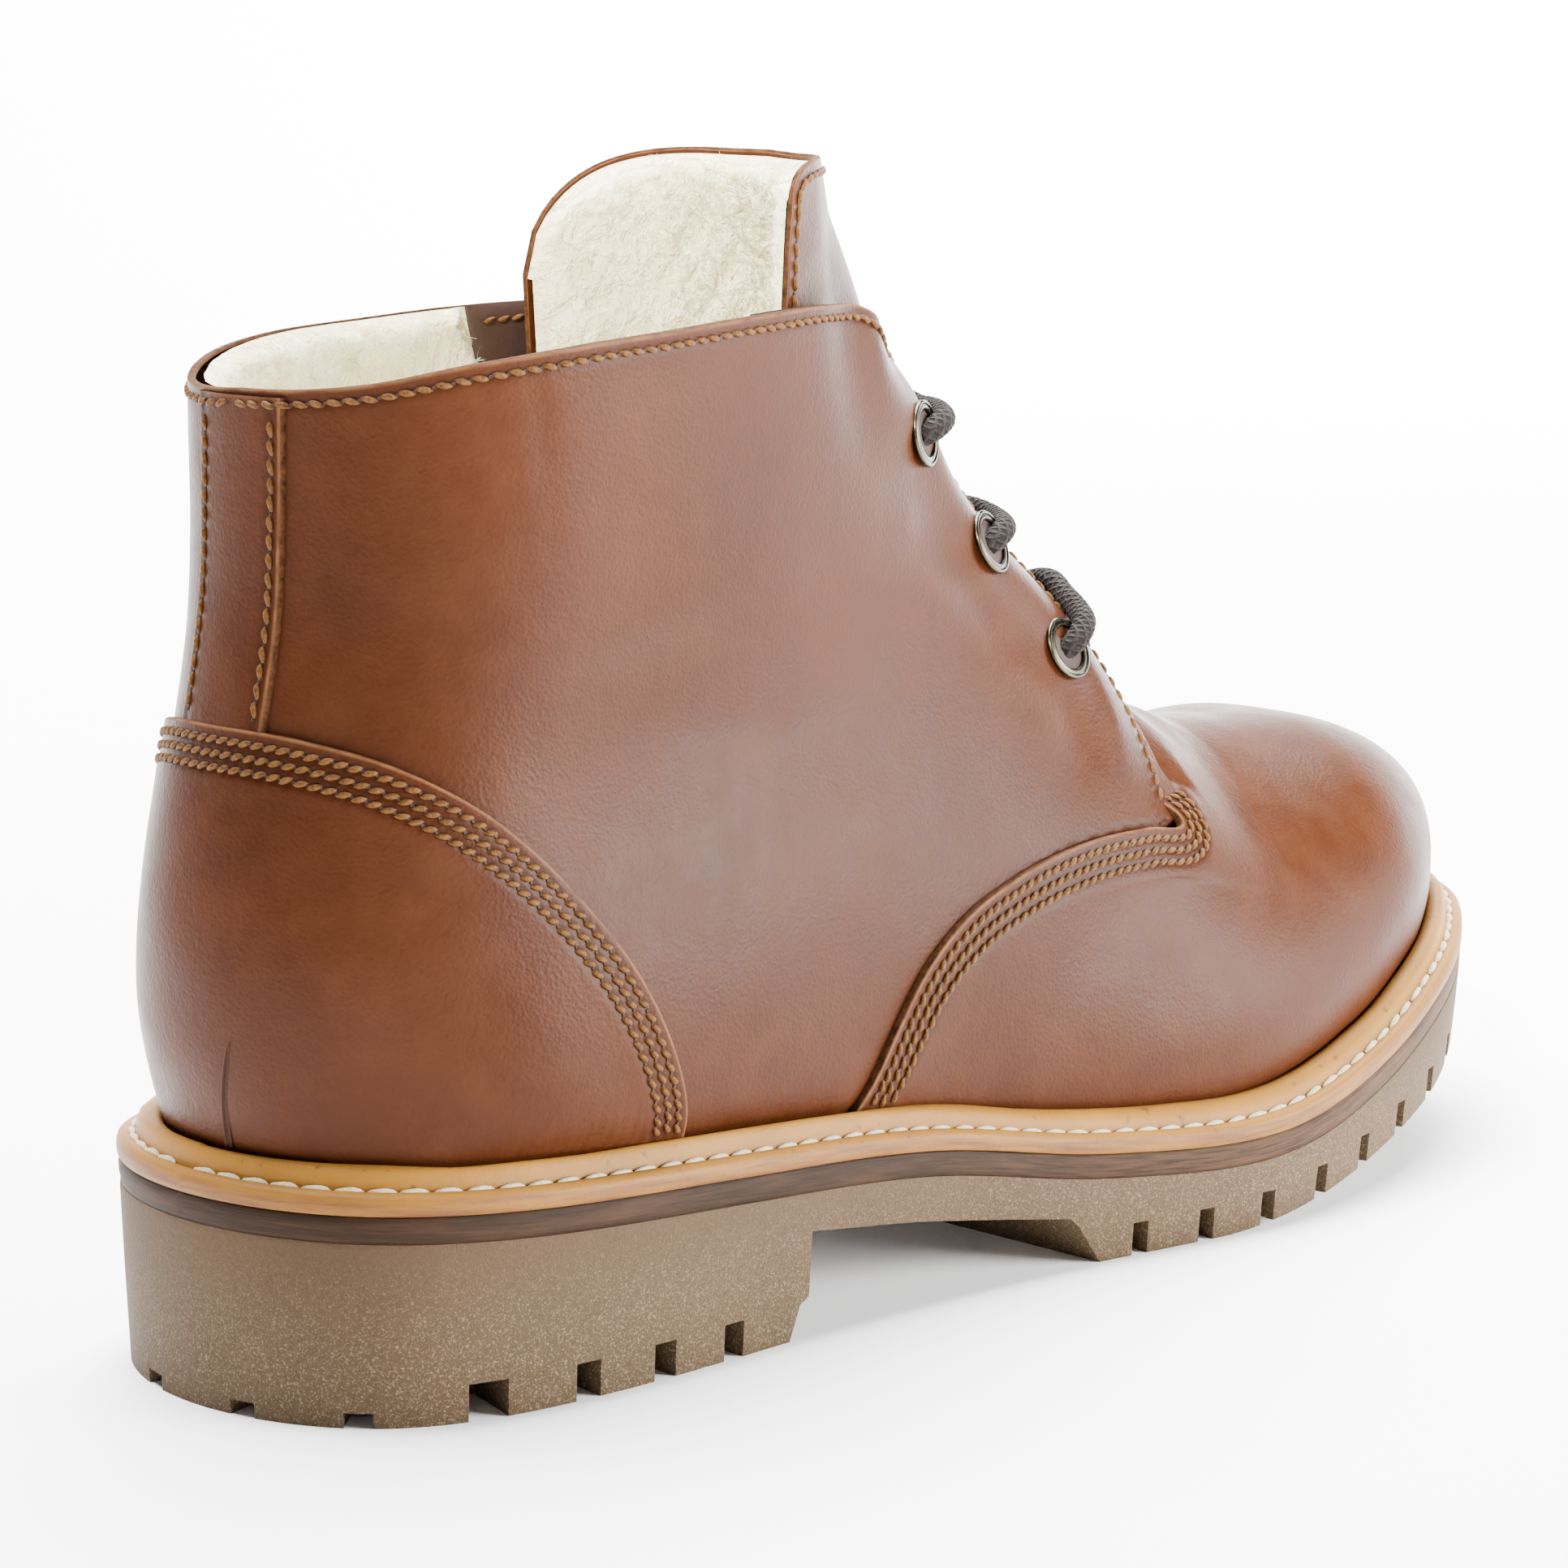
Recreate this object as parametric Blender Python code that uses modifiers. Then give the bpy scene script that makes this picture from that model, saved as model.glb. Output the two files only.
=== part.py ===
"""A men's lace-up ankle boot for the right foot: welted upper on a lugged rubber sole.

Shapes are worked out in millimetres, with x from the back of the heel to the toe,
y to the medial side and z up from the floor, and are placed in metres at the end.
"""

import math

import bmesh
import bpy
import numpy as np
from mathutils import Matrix, Vector

MM = 0.001
GAP = 0.3                       # clearance between pieces that touch
FACET_GAP = 0.7                 # the same, measured at the corners of curved faces

# ---------------------------------------------------------------- driving sizes
LENGTH = 305.0                  # sole, heel to toe
TIP_Y = 7.0                     # the toe tip leans to the medial side
COLUMNS = 28                    # sections down each side of the boot
ROWS = 20                       # sections from the sole to the collar

MIDSOLE_THICK = 4.0
WELT_THICK = 3.0
BEAD_HEIGHT = 6.4
INSOLE_THICK = 4.5
WALL = 4.6                      # leather with its deep fleece lining
COUNTER_THICK = 1.3
STRIP_THICK = 1.1
STRIP_HALF = 9.5
STRIP_FOOT = 106.5
STRIP_HEAD = 153.0
STRIP_GAP = 0.45
TONGUE_THICK = 5.2
TONGUE_GAP = 1.0

# Outer edge of the welt, and the height of the midsole's top, at each station.
SOLE_COLUMNS = ("station", "lateral", "medial", "top")
SOLE = (
    (12, 31.0, 31.0, 33.2),
    (40, 42.5, 42.0, 31.6),
    (80, 44.5, 42.0, 29.2),
    (120, 45.0, 37.0, 25.8),
    (160, 50.0, 42.0, 18.8),
    (200, 56.0, 52.0, 17.0),
    (230, 53.0, 55.0, 22.8),
    (260, 44.5, 50.5, 32.0),
    (285, 29.0, 38.0, 36.6),
    (298, 15.0, 25.0, 38.0),
)

HEEL_TOP = 33.6
TOE_TOP = 38.4

# Toe spring of the ground face.
SPRING_START = 186.0
SPRING_RISE = 27.0
SPRING_POWER = 1.45

# Side view of the gap between heel block and forefoot block.
ARCH_COLUMNS = ("station", "height")
ARCH = (
    (87.5, -5.0), (88.2, 0.0), (90.4, 5.8), (92.3, 6.8), (92.6, 17.6),
    (117.0, 14.4), (151.0, 8.8), (153.0, 7.0), (158.0, 0.0), (159.0, -5.0),
)

# The last: sections across the foot.
FOOT_COLUMNS = ("station", "ridge_y", "ridge_z", "power")
FOOT = (
    (30, 0.0, 70.0, 2.0),
    (80, 0.0, 96.0, 2.0),
    (120, 0.0, 108.0, 1.8),
    (150, 0.0, 110.0, 1.7),
    (172, 1.0, 107.0, 1.55),
    (190, 2.0, 97.0, 1.55),
    (215, 3.0, 80.5, 1.65),
    (240, 5.0, 77.8, 1.8),
    (262, 6.5, 78.2, 1.95),
    (290, 7.0, 77.0, 2.05),
)
LAST_INSET = 6.5                # widest line of the upper, inside the welt's edge
BULGE_UP = 12.6                 # height of that line above the welt
TUCK = 36.0                     # how fast the wall draws in below it
RIDGE_ROUND = 6.0               # rounding of the ridge along the top of the foot
TOE_START = 245.0
TOE_POWER = 2.3

# The shaft: level sections from the heel to the top of the tongue.
SHAFT_COLUMNS = ("height", "back", "front", "lateral", "medial", "middle", "power")
SHAFT = (
    (30, 9.0, 150, 34.0, 33.5, 46, 2.1),
    (43, 5.5, 175, 36.4, 36.0, 46, 2.1),
    (57, 2.4, 190, 37.4, 37.0, 46, 2.1),
    (69, 2.0, 198, 37.0, 36.0, 46, 2.1),
    (85, 4.4, 200, 35.0, 34.0, 47, 2.1),
    (101, 8.7, 193, 33.8, 33.0, 49, 2.1),
    (118, 12.5, 180, 34.4, 33.6, 52, 2.1),
    (138, 14.2, 164, 36.4, 35.6, 55, 2.1),
    (160, 14.6, 148, 38.0, 37.2, 57, 2.1),
    (190, 14.6, 133, 40.0, 39.0, 58, 2.1),
)
BLEND = 16.0                    # rounding where shaft and foot run together
FORM_SCALE = 38.0               # turns the forms' ratios into about a millimetre each

# Height of the collar along the boot.
COLLAR_COLUMNS = ("station", "height")
COLLAR = (
    (10, 154.0), (20, 155.5), (30, 157.5), (45, 159.5), (70, 162.5),
    (90, 164.5), (110, 164.5), (125, 163.5), (140, 162.0), (160, 160.0),
)
COLLAR_MEDIAL_DROP = 2.0

# Side view of the heel counter's top edge.
COUNTER_COLUMNS = ("station", "height")
COUNTER = (
    (-12, 106.5), (9, 104.3), (21, 100.0), (34, 91.5), (47, 79.2),
    (57.5, 65.0), (65, 49.0), (68, 24.0), (68, 10.0), (-12, 10.0),
)

# The front opening, seen in the front view: s runs up the instep, y across it.
OPENING_COLUMNS = ("s", "lateral", "medial")
OPENING = (
    (-86.5, 35.5, 32.5), (-84.0, 32.0, 30.0), (-81.5, 28.5, 27.5), (-78.5, 25.0, 24.5),
    (-72.0, 19.8, 19.8), (-63.0, 15.4, 15.4), (-50.0, 12.2, 12.2), (-35.0, 10.6, 10.6),
    (-18.0, 10.0, 10.0), (-2.0, 10.0, 10.0), (5.0, 11.0, 11.0), (10.0, 14.0, 14.0),
    (14.0, 18.5, 18.5), (17.5, 24.0, 24.0), (45.0, 24.0, 24.0),
)
VAMP_EDGE_S = -79.0             # the vamp's back edge on the ridge

# Eyelets: distance up the instep of each pair.
EYELET_S = (-60.0, -31.4, -2.8)
EYELET_Y = 20.0
EYELET_RADIUS = 5.6
BORE_RADIUS = 2.7
BARREL_RADIUS = 3.1
FLANGE_THICK = 0.9

LACE_RADIUS = 2.1

# One run of lace over the tongue: across it, up it, and clear of it.
LACE_COLUMNS = ("across", "up", "lift")
LACE = ((-16.5, 2.5, 3.6), (-11.5, 4.5, 2.9), (-7.0, 7.5, 0.8), (0.0, 12.0, -2.2), (6.6, 17.0, -2.9))
LACE_SIDES = 8

# The tongue, in the same view.
TONGUE_BOTTOM_S = -94.0
TONGUE_TOP = 187.0              # height of its top edge above the floor
TONGUE_CORNER = 12.0            # how far the top edge drops at the rounded corners
TONGUE_COLUMNS = ("s", "lateral", "medial")
TONGUE = (
    (-94, 37.0, 33.0), (-85, 36.5, 33.0), (-70, 30.5, 30.0), (-45, 26.5, 26.5),
    (-10, 28.5, 28.5), (36, 34.0, 34.0),
)

# Lugs, by distance along the sole's edge from the back of the heel.
HEEL_SLOTS_COLUMNS = ("distance", "width")
HEEL_SLOTS = ((52.0, 6.6), (70.2, 4.6), (85.6, 4.4), (100.4, 4.2))
HEEL_SLOT_HEIGHT = 6.0
TOE_SLOT_FIRST = 191.4
TOE_SLOT_PITCH = 14.8
TOE_SLOT_WIDTH = 2.6
TOE_SLOT_HEIGHT = 5.0
SLOT_LENGTH = 14.0
GROOVE_WIDTH = 7.0              # wider grooves across the sole between facing slots
GROOVE_HEIGHT = 3.6
TOE_GROOVES = 6
BACK_NOTCHES = (-31.0, -11.0, 11.0, 31.0)
BACK_NOTCH = (4.6, 8.0, 2.4)    # width, length, height
TOE_CLEAR = 6.0                 # no slot starts nearer the toe tip than this
CUT_UNDER = 8.0                 # how far slot cutters reach below and outside the sole
CUT_OUTSIDE = 6.0
CUT_SIDE = 90.0                 # cutters in side view reach this far each way
SOLE_INSET = 0.4                # rubber and midsole stand inside the welt's edge
SOLE_DRAFT = 1.2                # and the rubber draws in this much more at the floor

# The welt's section: which edge each point is measured from, how far in, how high.
WELT_COLUMNS = ("from", "inward", "rise")
WELT = (
    ("edge", 0.2, 0.0), ("edge", 0.2, 2.5), ("edge", 0.8, 3.0), ("bead", -4.4, 3.0),
    ("bead", -3.6, 5.0), ("bead", -2.1, 6.4), ("bead", -0.6, 6.4), ("bead", 0.0, 5.4),
    ("foot", 0.0, 0.0),
)

EYE = np.array([1.0, 0.0, 1.0]) / math.sqrt(2)      # the front view looks back along this
ALONG = np.array([-1.0, 0.0, 1.0]) / math.sqrt(2)
THROAT_NEAR = 118.0                                 # along EYE, inside the boot
THROAT_FAR = 260.0                                  # and past its front
STEADY = np.array([0.3, 0.1, 1.0])                  # no lace runs along this
INSIDE = 170.0                                      # along EYE, behind the instep
AXIS = np.array([78.0, 0.0, 42.0])                  # inside the ankle


# ---------------------------------------------------------------- curves
def column(table, names, name):
    """One named column of a table, as an array."""
    return np.array([row[names.index(name)] for row in table], float)


def smooth(xs, ys):
    """A smooth curve through a table, held at its end values outside it."""
    step = np.diff(xs)
    rise = np.diff(ys) / step
    slope = np.empty_like(ys)
    slope[1:-1] = (rise[:-1] * step[1:] + rise[1:] * step[:-1]) / (step[:-1] + step[1:])
    slope[0] = 1.5 * rise[0] - 0.5 * slope[1]
    slope[-1] = 1.5 * rise[-1] - 0.5 * slope[-2]

    def value(x):
        x = np.clip(np.asarray(x, float), xs[0], xs[-1])
        i = np.clip(np.searchsorted(xs, x, side="right") - 1, 0, len(xs) - 2)
        u = (x - xs[i]) / step[i]
        return (
            (2 * u**3 - 3 * u**2 + 1) * ys[i]
            + (u**3 - 2 * u**2 + u) * step[i] * slope[i]
            + (3 * u**2 - 2 * u**3) * ys[i + 1]
            + (u**3 - u**2) * step[i] * slope[i + 1]
        )

    return value


def closed_smooth(points):
    """A closed curve of continuous curvature through points, and its knots."""
    count = len(points)
    chord = np.sqrt(np.linalg.norm(np.roll(points, -1, 0) - points, axis=1))
    left = np.zeros((count, count))
    right = np.zeros_like(points)
    for i in range(count):
        before = chord[i - 1]
        after = chord[i]
        nxt = (i + 1) % count
        left[i, i - 1] += after
        left[i, i] += 2 * (before + after)
        left[i, nxt] += before
        right[i] = 3 * (
            after / before * (points[i] - points[i - 1])
            + before / after * (points[nxt] - points[i])
        )
    slope = np.linalg.solve(left, right)
    knots = np.concatenate([[0.0], np.cumsum(chord)])

    def value(t):
        t = np.mod(t, knots[-1])
        i = np.clip(np.searchsorted(knots, t, side="right") - 1, 0, count - 1)
        step = chord[i][..., None]
        u = ((t - knots[i]) / chord[i])[..., None]
        nxt = (i + 1) % count
        return (
            (2 * u**3 - 3 * u**2 + 1) * points[i]
            + (u**3 - 2 * u**2 + u) * step * slope[i]
            + (3 * u**2 - 2 * u**3) * points[nxt]
            + (u**3 - u**2) * step * slope[nxt]
        )

    return value, knots


def table_curve(table, names, key, name):
    return smooth(column(table, names, key), column(table, names, name))


# ---------------------------------------------------------------- sole outline
def outline_points():
    """The sole's outline points: back of heel, lateral side, toe tip, medial side."""
    station = column(SOLE, SOLE_COLUMNS, "station")
    lateral = column(SOLE, SOLE_COLUMNS, "lateral")
    medial = column(SOLE, SOLE_COLUMNS, "medial")
    down = np.stack([station, -lateral], 1)
    back = np.stack([station, medial], 1)[::-1]
    return np.vstack([[[0.0, 0.0]], down, [[LENGTH, TIP_Y]], back])


OUTLINE, KNOTS = closed_smooth(outline_points())
TOE_KNOT = KNOTS[len(SOLE) + 1]
TOP = smooth(
    np.concatenate([[0.0], column(SOLE, SOLE_COLUMNS, "station"), [LENGTH]]),
    np.concatenate([[HEEL_TOP], column(SOLE, SOLE_COLUMNS, "top"), [TOE_TOP]]),
)


def outline(t, inset=0.0):
    """The outline drawn in by inset. t is 0 at the heel, 1 or -1 at the toe tip,
    and runs down the lateral side where it is positive."""
    t = np.asarray(t, float)
    knot = np.where(t >= 0, t * TOE_KNOT, KNOTS[-1] + t * (KNOTS[-1] - TOE_KNOT))
    small = 1e-3
    ahead = OUTLINE(knot + small) - OUTLINE(knot - small)
    ahead /= np.linalg.norm(ahead, axis=-1)[..., None]
    inward = np.stack([-ahead[..., 1], ahead[..., 0]], -1)
    return OUTLINE(knot) + inward * np.broadcast_to(inset, t.shape)[..., None], inward


def ground(x):
    """Height of the sole's underside where no slot or arch is cut."""
    along = np.clip((np.asarray(x, float) - SPRING_START) / (LENGTH - SPRING_START), 0, 1)
    return SPRING_RISE * along**SPRING_POWER


def side_stations(side):
    """t at COLUMNS + 1 places of equal spacing down one side (1 lateral, -1 medial)."""
    t = side * np.linspace(0, 1, 801)
    points, _ = outline(t)
    run = np.concatenate([[0.0], np.cumsum(np.linalg.norm(np.diff(points, axis=0), axis=1))])
    return np.interp(np.linspace(0, run[-1], COLUMNS + 1), run, t)


def ring_stations():
    """t all the way round: heel, lateral side, toe, medial side."""
    return np.concatenate([side_stations(1)[:-1], side_stations(-1)[:0:-1]])


def at_distance(distance):
    """Edge point and inward direction at a distance from the heel's back."""
    side = 1 if distance >= 0 else -1
    t = side * np.linspace(0, 1, 801)
    points, inward = outline(t)
    run = np.concatenate([[0.0], np.cumsum(np.linalg.norm(np.diff(points, axis=0), axis=1))])
    k = int(np.searchsorted(run, abs(distance)))
    return points[k], inward[k], run[-1]


# ---------------------------------------------------------------- the last
SIDE_T = np.linspace(0, 1, 401)
LATERAL_EDGE = outline(SIDE_T, LAST_INSET)[0]
MEDIAL_EDGE = outline(-SIDE_T, LAST_INSET)[0]
LAST_TIP = LATERAL_EDGE[-1, 0]
RIDGE_Y = table_curve(FOOT, FOOT_COLUMNS, "station", "ridge_y")
RIDGE_Z = table_curve(FOOT, FOOT_COLUMNS, "station", "ridge_z")
FOOT_POWER = table_curve(FOOT, FOOT_COLUMNS, "station", "power")
SHAFT_BACK = table_curve(SHAFT, SHAFT_COLUMNS, "height", "back")
SHAFT_FRONT = table_curve(SHAFT, SHAFT_COLUMNS, "height", "front")
SHAFT_LATERAL = table_curve(SHAFT, SHAFT_COLUMNS, "height", "lateral")
SHAFT_MEDIAL = table_curve(SHAFT, SHAFT_COLUMNS, "height", "medial")
SHAFT_MIDDLE = table_curve(SHAFT, SHAFT_COLUMNS, "height", "middle")
SHAFT_POWER = table_curve(SHAFT, SHAFT_COLUMNS, "height", "power")


def edge_y(edge, x):
    order = np.argsort(edge[:, 0])
    return np.interp(x, edge[order, 0], edge[order, 1])


def rounded(y):
    """Distance from the ridge, eased near it so that the ridge isn't sharp."""
    return np.hypot(y, RIDGE_ROUND) - RIDGE_ROUND


def foot_form(x, y, z):
    """Below zero inside the foot: rounded sections across the boot, closed at the toe."""
    start = FOOT[0][0]
    at = np.clip(x, start, LAST_TIP - 1e-3)
    near = np.clip((at - TOE_START) / (LAST_TIP - TOE_START), 0, 1)
    closing = (1 - near**TOE_POWER) ** (1 / TOE_POWER)
    widest = TOP(at) + WELT_THICK + BULGE_UP
    ridge_y = RIDGE_Y(at) * (1 - near**4) + TIP_Y * near**4
    ridge_z = widest + (RIDGE_Z(at) - widest) * closing
    lateral = edge_y(LATERAL_EDGE, at)
    medial = edge_y(MEDIAL_EDGE, at)
    half = np.maximum(np.where(y < ridge_y, ridge_y - lateral, medial - ridge_y), 1e-3)
    across = rounded(y - ridge_y) / rounded(half)
    above = np.maximum(z - widest, 0) / np.maximum(ridge_z - widest, 1e-3)
    below = np.maximum(widest - z, 0) / TUCK
    power = FOOT_POWER(at)
    size = (across**power + above**power + below**2.2) ** (1 / power)
    scale = np.minimum((medial - lateral) / 2, FORM_SCALE)
    value = np.maximum((size - 1) * scale, start - x)
    return np.where(x < LAST_TIP - 1e-6, value, FORM_SCALE)


def shaft_form(x, y, z):
    """Below zero inside the shaft: level egg-shaped sections from heel to collar."""
    at = np.clip(z, SHAFT[0][0], SHAFT[-1][0])
    middle = SHAFT_MIDDLE(at)
    half = np.where(y < 0, SHAFT_LATERAL(at), SHAFT_MEDIAL(at))
    reach = np.where(x < middle, middle - SHAFT_BACK(at), SHAFT_FRONT(at) - middle)
    power = SHAFT_POWER(at)
    size = (np.abs((x - middle) / reach) ** power + np.abs(y / half) ** power) ** (1 / power)
    return (size - 1) * FORM_SCALE


def body(p):
    """Below zero inside the upper's outer face: foot and shaft run smoothly together."""
    x, y, z = np.moveaxis(np.asarray(p, float), -1, 0)
    foot = foot_form(x, y, z)
    shaft = shaft_form(x, y, z)
    mix = np.clip(0.5 + 0.5 * (shaft - foot) / BLEND, 0, 1)
    return shaft * (1 - mix) + foot * mix - BLEND * mix * (1 - mix)


def normal(p):
    """Outward direction of the upper's face at p."""
    step = 0.05
    grad = np.stack([
        body(p + step * axis) - body(p - step * axis) for axis in np.eye(3)
    ], -1)
    return grad / np.linalg.norm(grad, axis=-1)[..., None]


def cast(start, way, reach):
    """Where rays from inside the upper leave its outer face."""
    low = np.zeros(start.shape[:-1])
    high = np.full(start.shape[:-1], float(reach))
    for _ in range(40):
        mid = (low + high) / 2
        inside = body(start + way * mid[..., None]) < 0
        low = np.where(inside, mid, low)
        high = np.where(inside, high, mid)
    return start + way * low[..., None]


def front_point(y, s):
    """The outer face where a ray along EYE meets it, s up the instep and y across."""
    y, s = np.broadcast_arrays(np.asarray(y, float), np.asarray(s, float))
    start = s[..., None] * ALONG + INSIDE * EYE
    start[..., 1] = y
    return cast(start, EYE, 130.0)


def s_at_height(y, height):
    """How far up the instep the outer face reaches a height, at each y."""
    low = np.full_like(y, TONGUE_BOTTOM_S)
    high = np.full_like(y, 100.0)
    for _ in range(30):
        mid = (low + high) / 2
        under = front_point(y, mid)[..., 2] < height
        low = np.where(under, mid, low)
        high = np.where(under, high, mid)
    return low


def collar_height(p):
    drop = COLLAR_MEDIAL_DROP * np.clip(p[..., 1] / 30.0, 0, 1)
    return COLLAR_Z(p[..., 0]) - drop


COLLAR_Z = table_curve(COLLAR, COLLAR_COLUMNS, "station", "height")


def welt_depth(t, rise):
    """How far inside the outline the upper's face is, at a height above the midsole."""
    low = np.zeros_like(t)
    high = np.full_like(t, 24.0)
    for _ in range(30):
        mid = (low + high) / 2
        flat, _ = outline(t, mid)
        outside = body(np.column_stack([flat, TOP(flat[:, 0]) + rise])) > 0
        low = np.where(outside, mid, low)
        high = np.where(outside, high, mid)
    return low


def column_rows():
    """Fractions of a column's length: closer together near the sole."""
    v = np.linspace(0, 1, ROWS + 1)
    return 0.72 * v + 0.28 * v**1.8


def upper_grid():
    """Points on the outer face: rows from sole to collar, columns round the boot."""
    t = ring_stations()
    foot, _ = outline(t, welt_depth(t, GAP))
    angle = np.arctan2(foot[:, 1] - AXIS[1], foot[:, 0] - AXIS[0])
    rise = np.radians(np.linspace(-40, 88, 321))
    grid = []
    for a in angle:
        way = np.stack([np.cos(rise) * math.cos(a), np.cos(rise) * math.sin(a), np.sin(rise)], -1)
        line = cast(np.broadcast_to(AXIS, way.shape), way, 300.0)
        low = line[:, 2] - TOP(line[:, 0]) - GAP
        high = line[:, 2] - collar_height(line)
        first = int(np.argmax(low > 0))
        last = int(np.argmax(high > 0))
        start = line[first - 1] + (line[first] - line[first - 1]) * low[first - 1] / (
            low[first - 1] - low[first])
        stop = line[last - 1] + (line[last] - line[last - 1]) * high[last - 1] / (
            high[last - 1] - high[last])
        path = np.vstack([start, line[first:last], stop])
        run = np.concatenate([[0.0], np.cumsum(np.linalg.norm(np.diff(path, axis=0), axis=1))])
        at = column_rows() * run[-1]
        grid.append(np.stack([np.interp(at, run, path[:, k]) for k in range(3)], -1))
    return np.array(grid).transpose(1, 0, 2)


def shifted(grid, amount, level_ends=True):
    """The grid moved along its outward direction; its end rows stay at their height."""
    way = normal(grid)
    if level_ends:
        for row in (0, -1):
            flat = way[row] * np.array([1.0, 1.0, 0.0])
            way[row] = flat / np.linalg.norm(flat, axis=-1)[:, None]
    return grid + way * amount


# ---------------------------------------------------------------- mesh helpers
def place(points):
    """Millimetres from the heel's back to metres from the middle of the sole."""
    edge, _ = outline(np.linspace(-1, 1, 2001))
    middle = (edge.min(0) + edge.max(0)) / 2
    return (np.asarray(points, float) - np.array([middle[0], middle[1], 0.0])) * MM


def clear_scene():
    for old in list(bpy.data.objects):
        bpy.data.objects.remove(old, do_unlink=True)


def collection(name):
    made = bpy.data.collections.new(name)
    bpy.context.scene.collection.children.link(made)
    return made


def material(name, color, roughness, metallic=0.0):
    made = bpy.data.materials.new(name)
    made.use_nodes = True
    shader = made.node_tree.nodes["Principled BSDF"]
    shader.inputs["Base Color"].default_value = (*color, 1.0)
    shader.inputs["Roughness"].default_value = roughness
    shader.inputs["Metallic"].default_value = metallic
    return made


def add_mesh(name, points, faces, where, finish=None):
    """A mesh object from points in millimetres, its faces turned outward."""
    mesh = bpy.data.meshes.new(name)
    mesh.from_pydata([tuple(p) for p in place(points)], [], [tuple(f) for f in faces])
    shape = bmesh.new()
    shape.from_mesh(mesh)
    bmesh.ops.recalc_face_normals(shape, faces=shape.faces)
    bmesh.ops.triangulate(shape, faces=[f for f in shape.faces if len(f.verts) > 4])
    shape.to_mesh(mesh)
    shape.free()
    made = bpy.data.objects.new(name, mesh)
    where.objects.link(made)
    if finish:
        mesh.materials.append(finish)
    return made


def split(a, b, c, d):
    """A four-sided face as two triangles, always along the same diagonal."""
    return [(a, b, c), (a, c, d)]


def loft_ring(rings):
    """Faces of a closed tube of closed rings, such as a welt or a hollow upper."""
    count = len(rings)
    across = len(rings[0])
    points = np.concatenate(rings)
    faces = []
    for i in range(count):
        for j in range(across):
            a = i * across + j
            b = i * across + (j + 1) % across
            c = ((i + 1) % count) * across + (j + 1) % across
            d = ((i + 1) % count) * across + j
            faces += split(a, b, c, d)
    return points, faces


def loft_patch(outer, inner):
    """Faces of a closed sheet between two grids of the same size."""
    rows, across = outer.shape[:2]
    points = np.concatenate([outer.reshape(-1, 3), inner.reshape(-1, 3)])
    half = rows * across
    faces = []
    for i in range(rows - 1):
        for j in range(across - 1):
            a = i * across + j
            for face in split(a, a + 1, a + 1 + across, a + across):
                faces.append(face)
                faces.append(tuple(half + k for k in reversed(face)))
    rim = [j for j in range(across)]
    rim += [i * across + across - 1 for i in range(1, rows)]
    rim += [(rows - 1) * across + j for j in range(across - 2, -1, -1)]
    rim += [i * across for i in range(rows - 2, 0, -1)]
    for a, b in zip(rim, rim[1:] + rim[:1]):
        faces.append((a, half + a, half + b, b))
    return points, faces


def plate(name, inset_top, inset_bottom, top, bottom, where, finish):
    """A slab with the sole's outline, its top and bottom heights given along the boot."""
    t = ring_stations()
    upper_edge, _ = outline(t, inset_top)
    lower_edge, _ = outline(t, inset_bottom)
    high = np.column_stack([upper_edge, top(upper_edge[:, 0])])
    low = np.column_stack([lower_edge, bottom(lower_edge[:, 0])])
    count = len(t)
    points = np.concatenate([high, low])
    faces = []
    for k in range(count):
        n = (k + 1) % count
        faces.append((k, n, count + n, count + k))
    last = COLUMNS - 1
    for k in range(COLUMNS):
        cover = split(k, k + 1, (count - k - 1) % count, (count - k) % count)
        if k == 0:
            cover = [(0, 1, count - 1)]
        if k == last:
            cover = [(k, k + 1, count - k)]
        for face in cover:
            faces.append(face)
            faces.append(tuple(count + i for i in reversed(face)))
    return add_mesh(name, points, faces, where, finish)


def box_cutter(name, center, size, inward, where):
    """A block whose x side points inward from the sole's edge."""
    bpy.ops.mesh.primitive_cube_add(size=1.0)
    made = bpy.context.object
    made.name = name
    across = Vector((-inward[1], inward[0], 0.0))
    ahead = Vector((inward[0], inward[1], 0.0))
    turn = Matrix((ahead, across, Vector((0, 0, 1)))).transposed().to_4x4()
    made.data.transform(Matrix.Diagonal((size[0] * MM, size[1] * MM, size[2] * MM, 1.0)))
    made.data.transform(turn)
    made.data.transform(Matrix.Translation(Vector(place(center))))
    for owner in list(made.users_collection):
        owner.objects.unlink(made)
    where.objects.link(made)
    return made


def prism(name, profile, way, depth, start, where):
    """A closed prism: a flat profile of 3-D points, moved along way from start to depth."""
    profile = np.asarray(profile, float)
    near = profile + np.asarray(way) * start
    far = profile + np.asarray(way) * depth
    count = len(profile)
    points = np.concatenate([near, far])
    faces = [tuple(range(count)), tuple(range(2 * count - 1, count - 1, -1))]
    for k in range(count):
        n = (k + 1) % count
        faces.append((k, n, count + n, count + k))
    return add_mesh(name, points, faces, where)


def joined(name, objects, where):
    """Several cutters that don't touch, as one object."""
    shape = bmesh.new()
    for each in objects:
        shape.from_mesh(each.data)
    mesh = bpy.data.meshes.new(name)
    shape.to_mesh(mesh)
    shape.free()
    for each in objects:
        bpy.data.objects.remove(each, do_unlink=True)
    made = bpy.data.objects.new(name, mesh)
    where.objects.link(made)
    return made


def boolean(target, cutter, how):
    """An exact Boolean modifier, with its cutter kept out of sight."""
    step = target.modifiers.new(how.title() + " " + cutter.name, "BOOLEAN")
    step.operation = how
    step.solver = "EXACT"
    step.object = cutter
    cutter.hide_render = True
    cutter.display_type = "WIRE"
    return step


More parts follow.
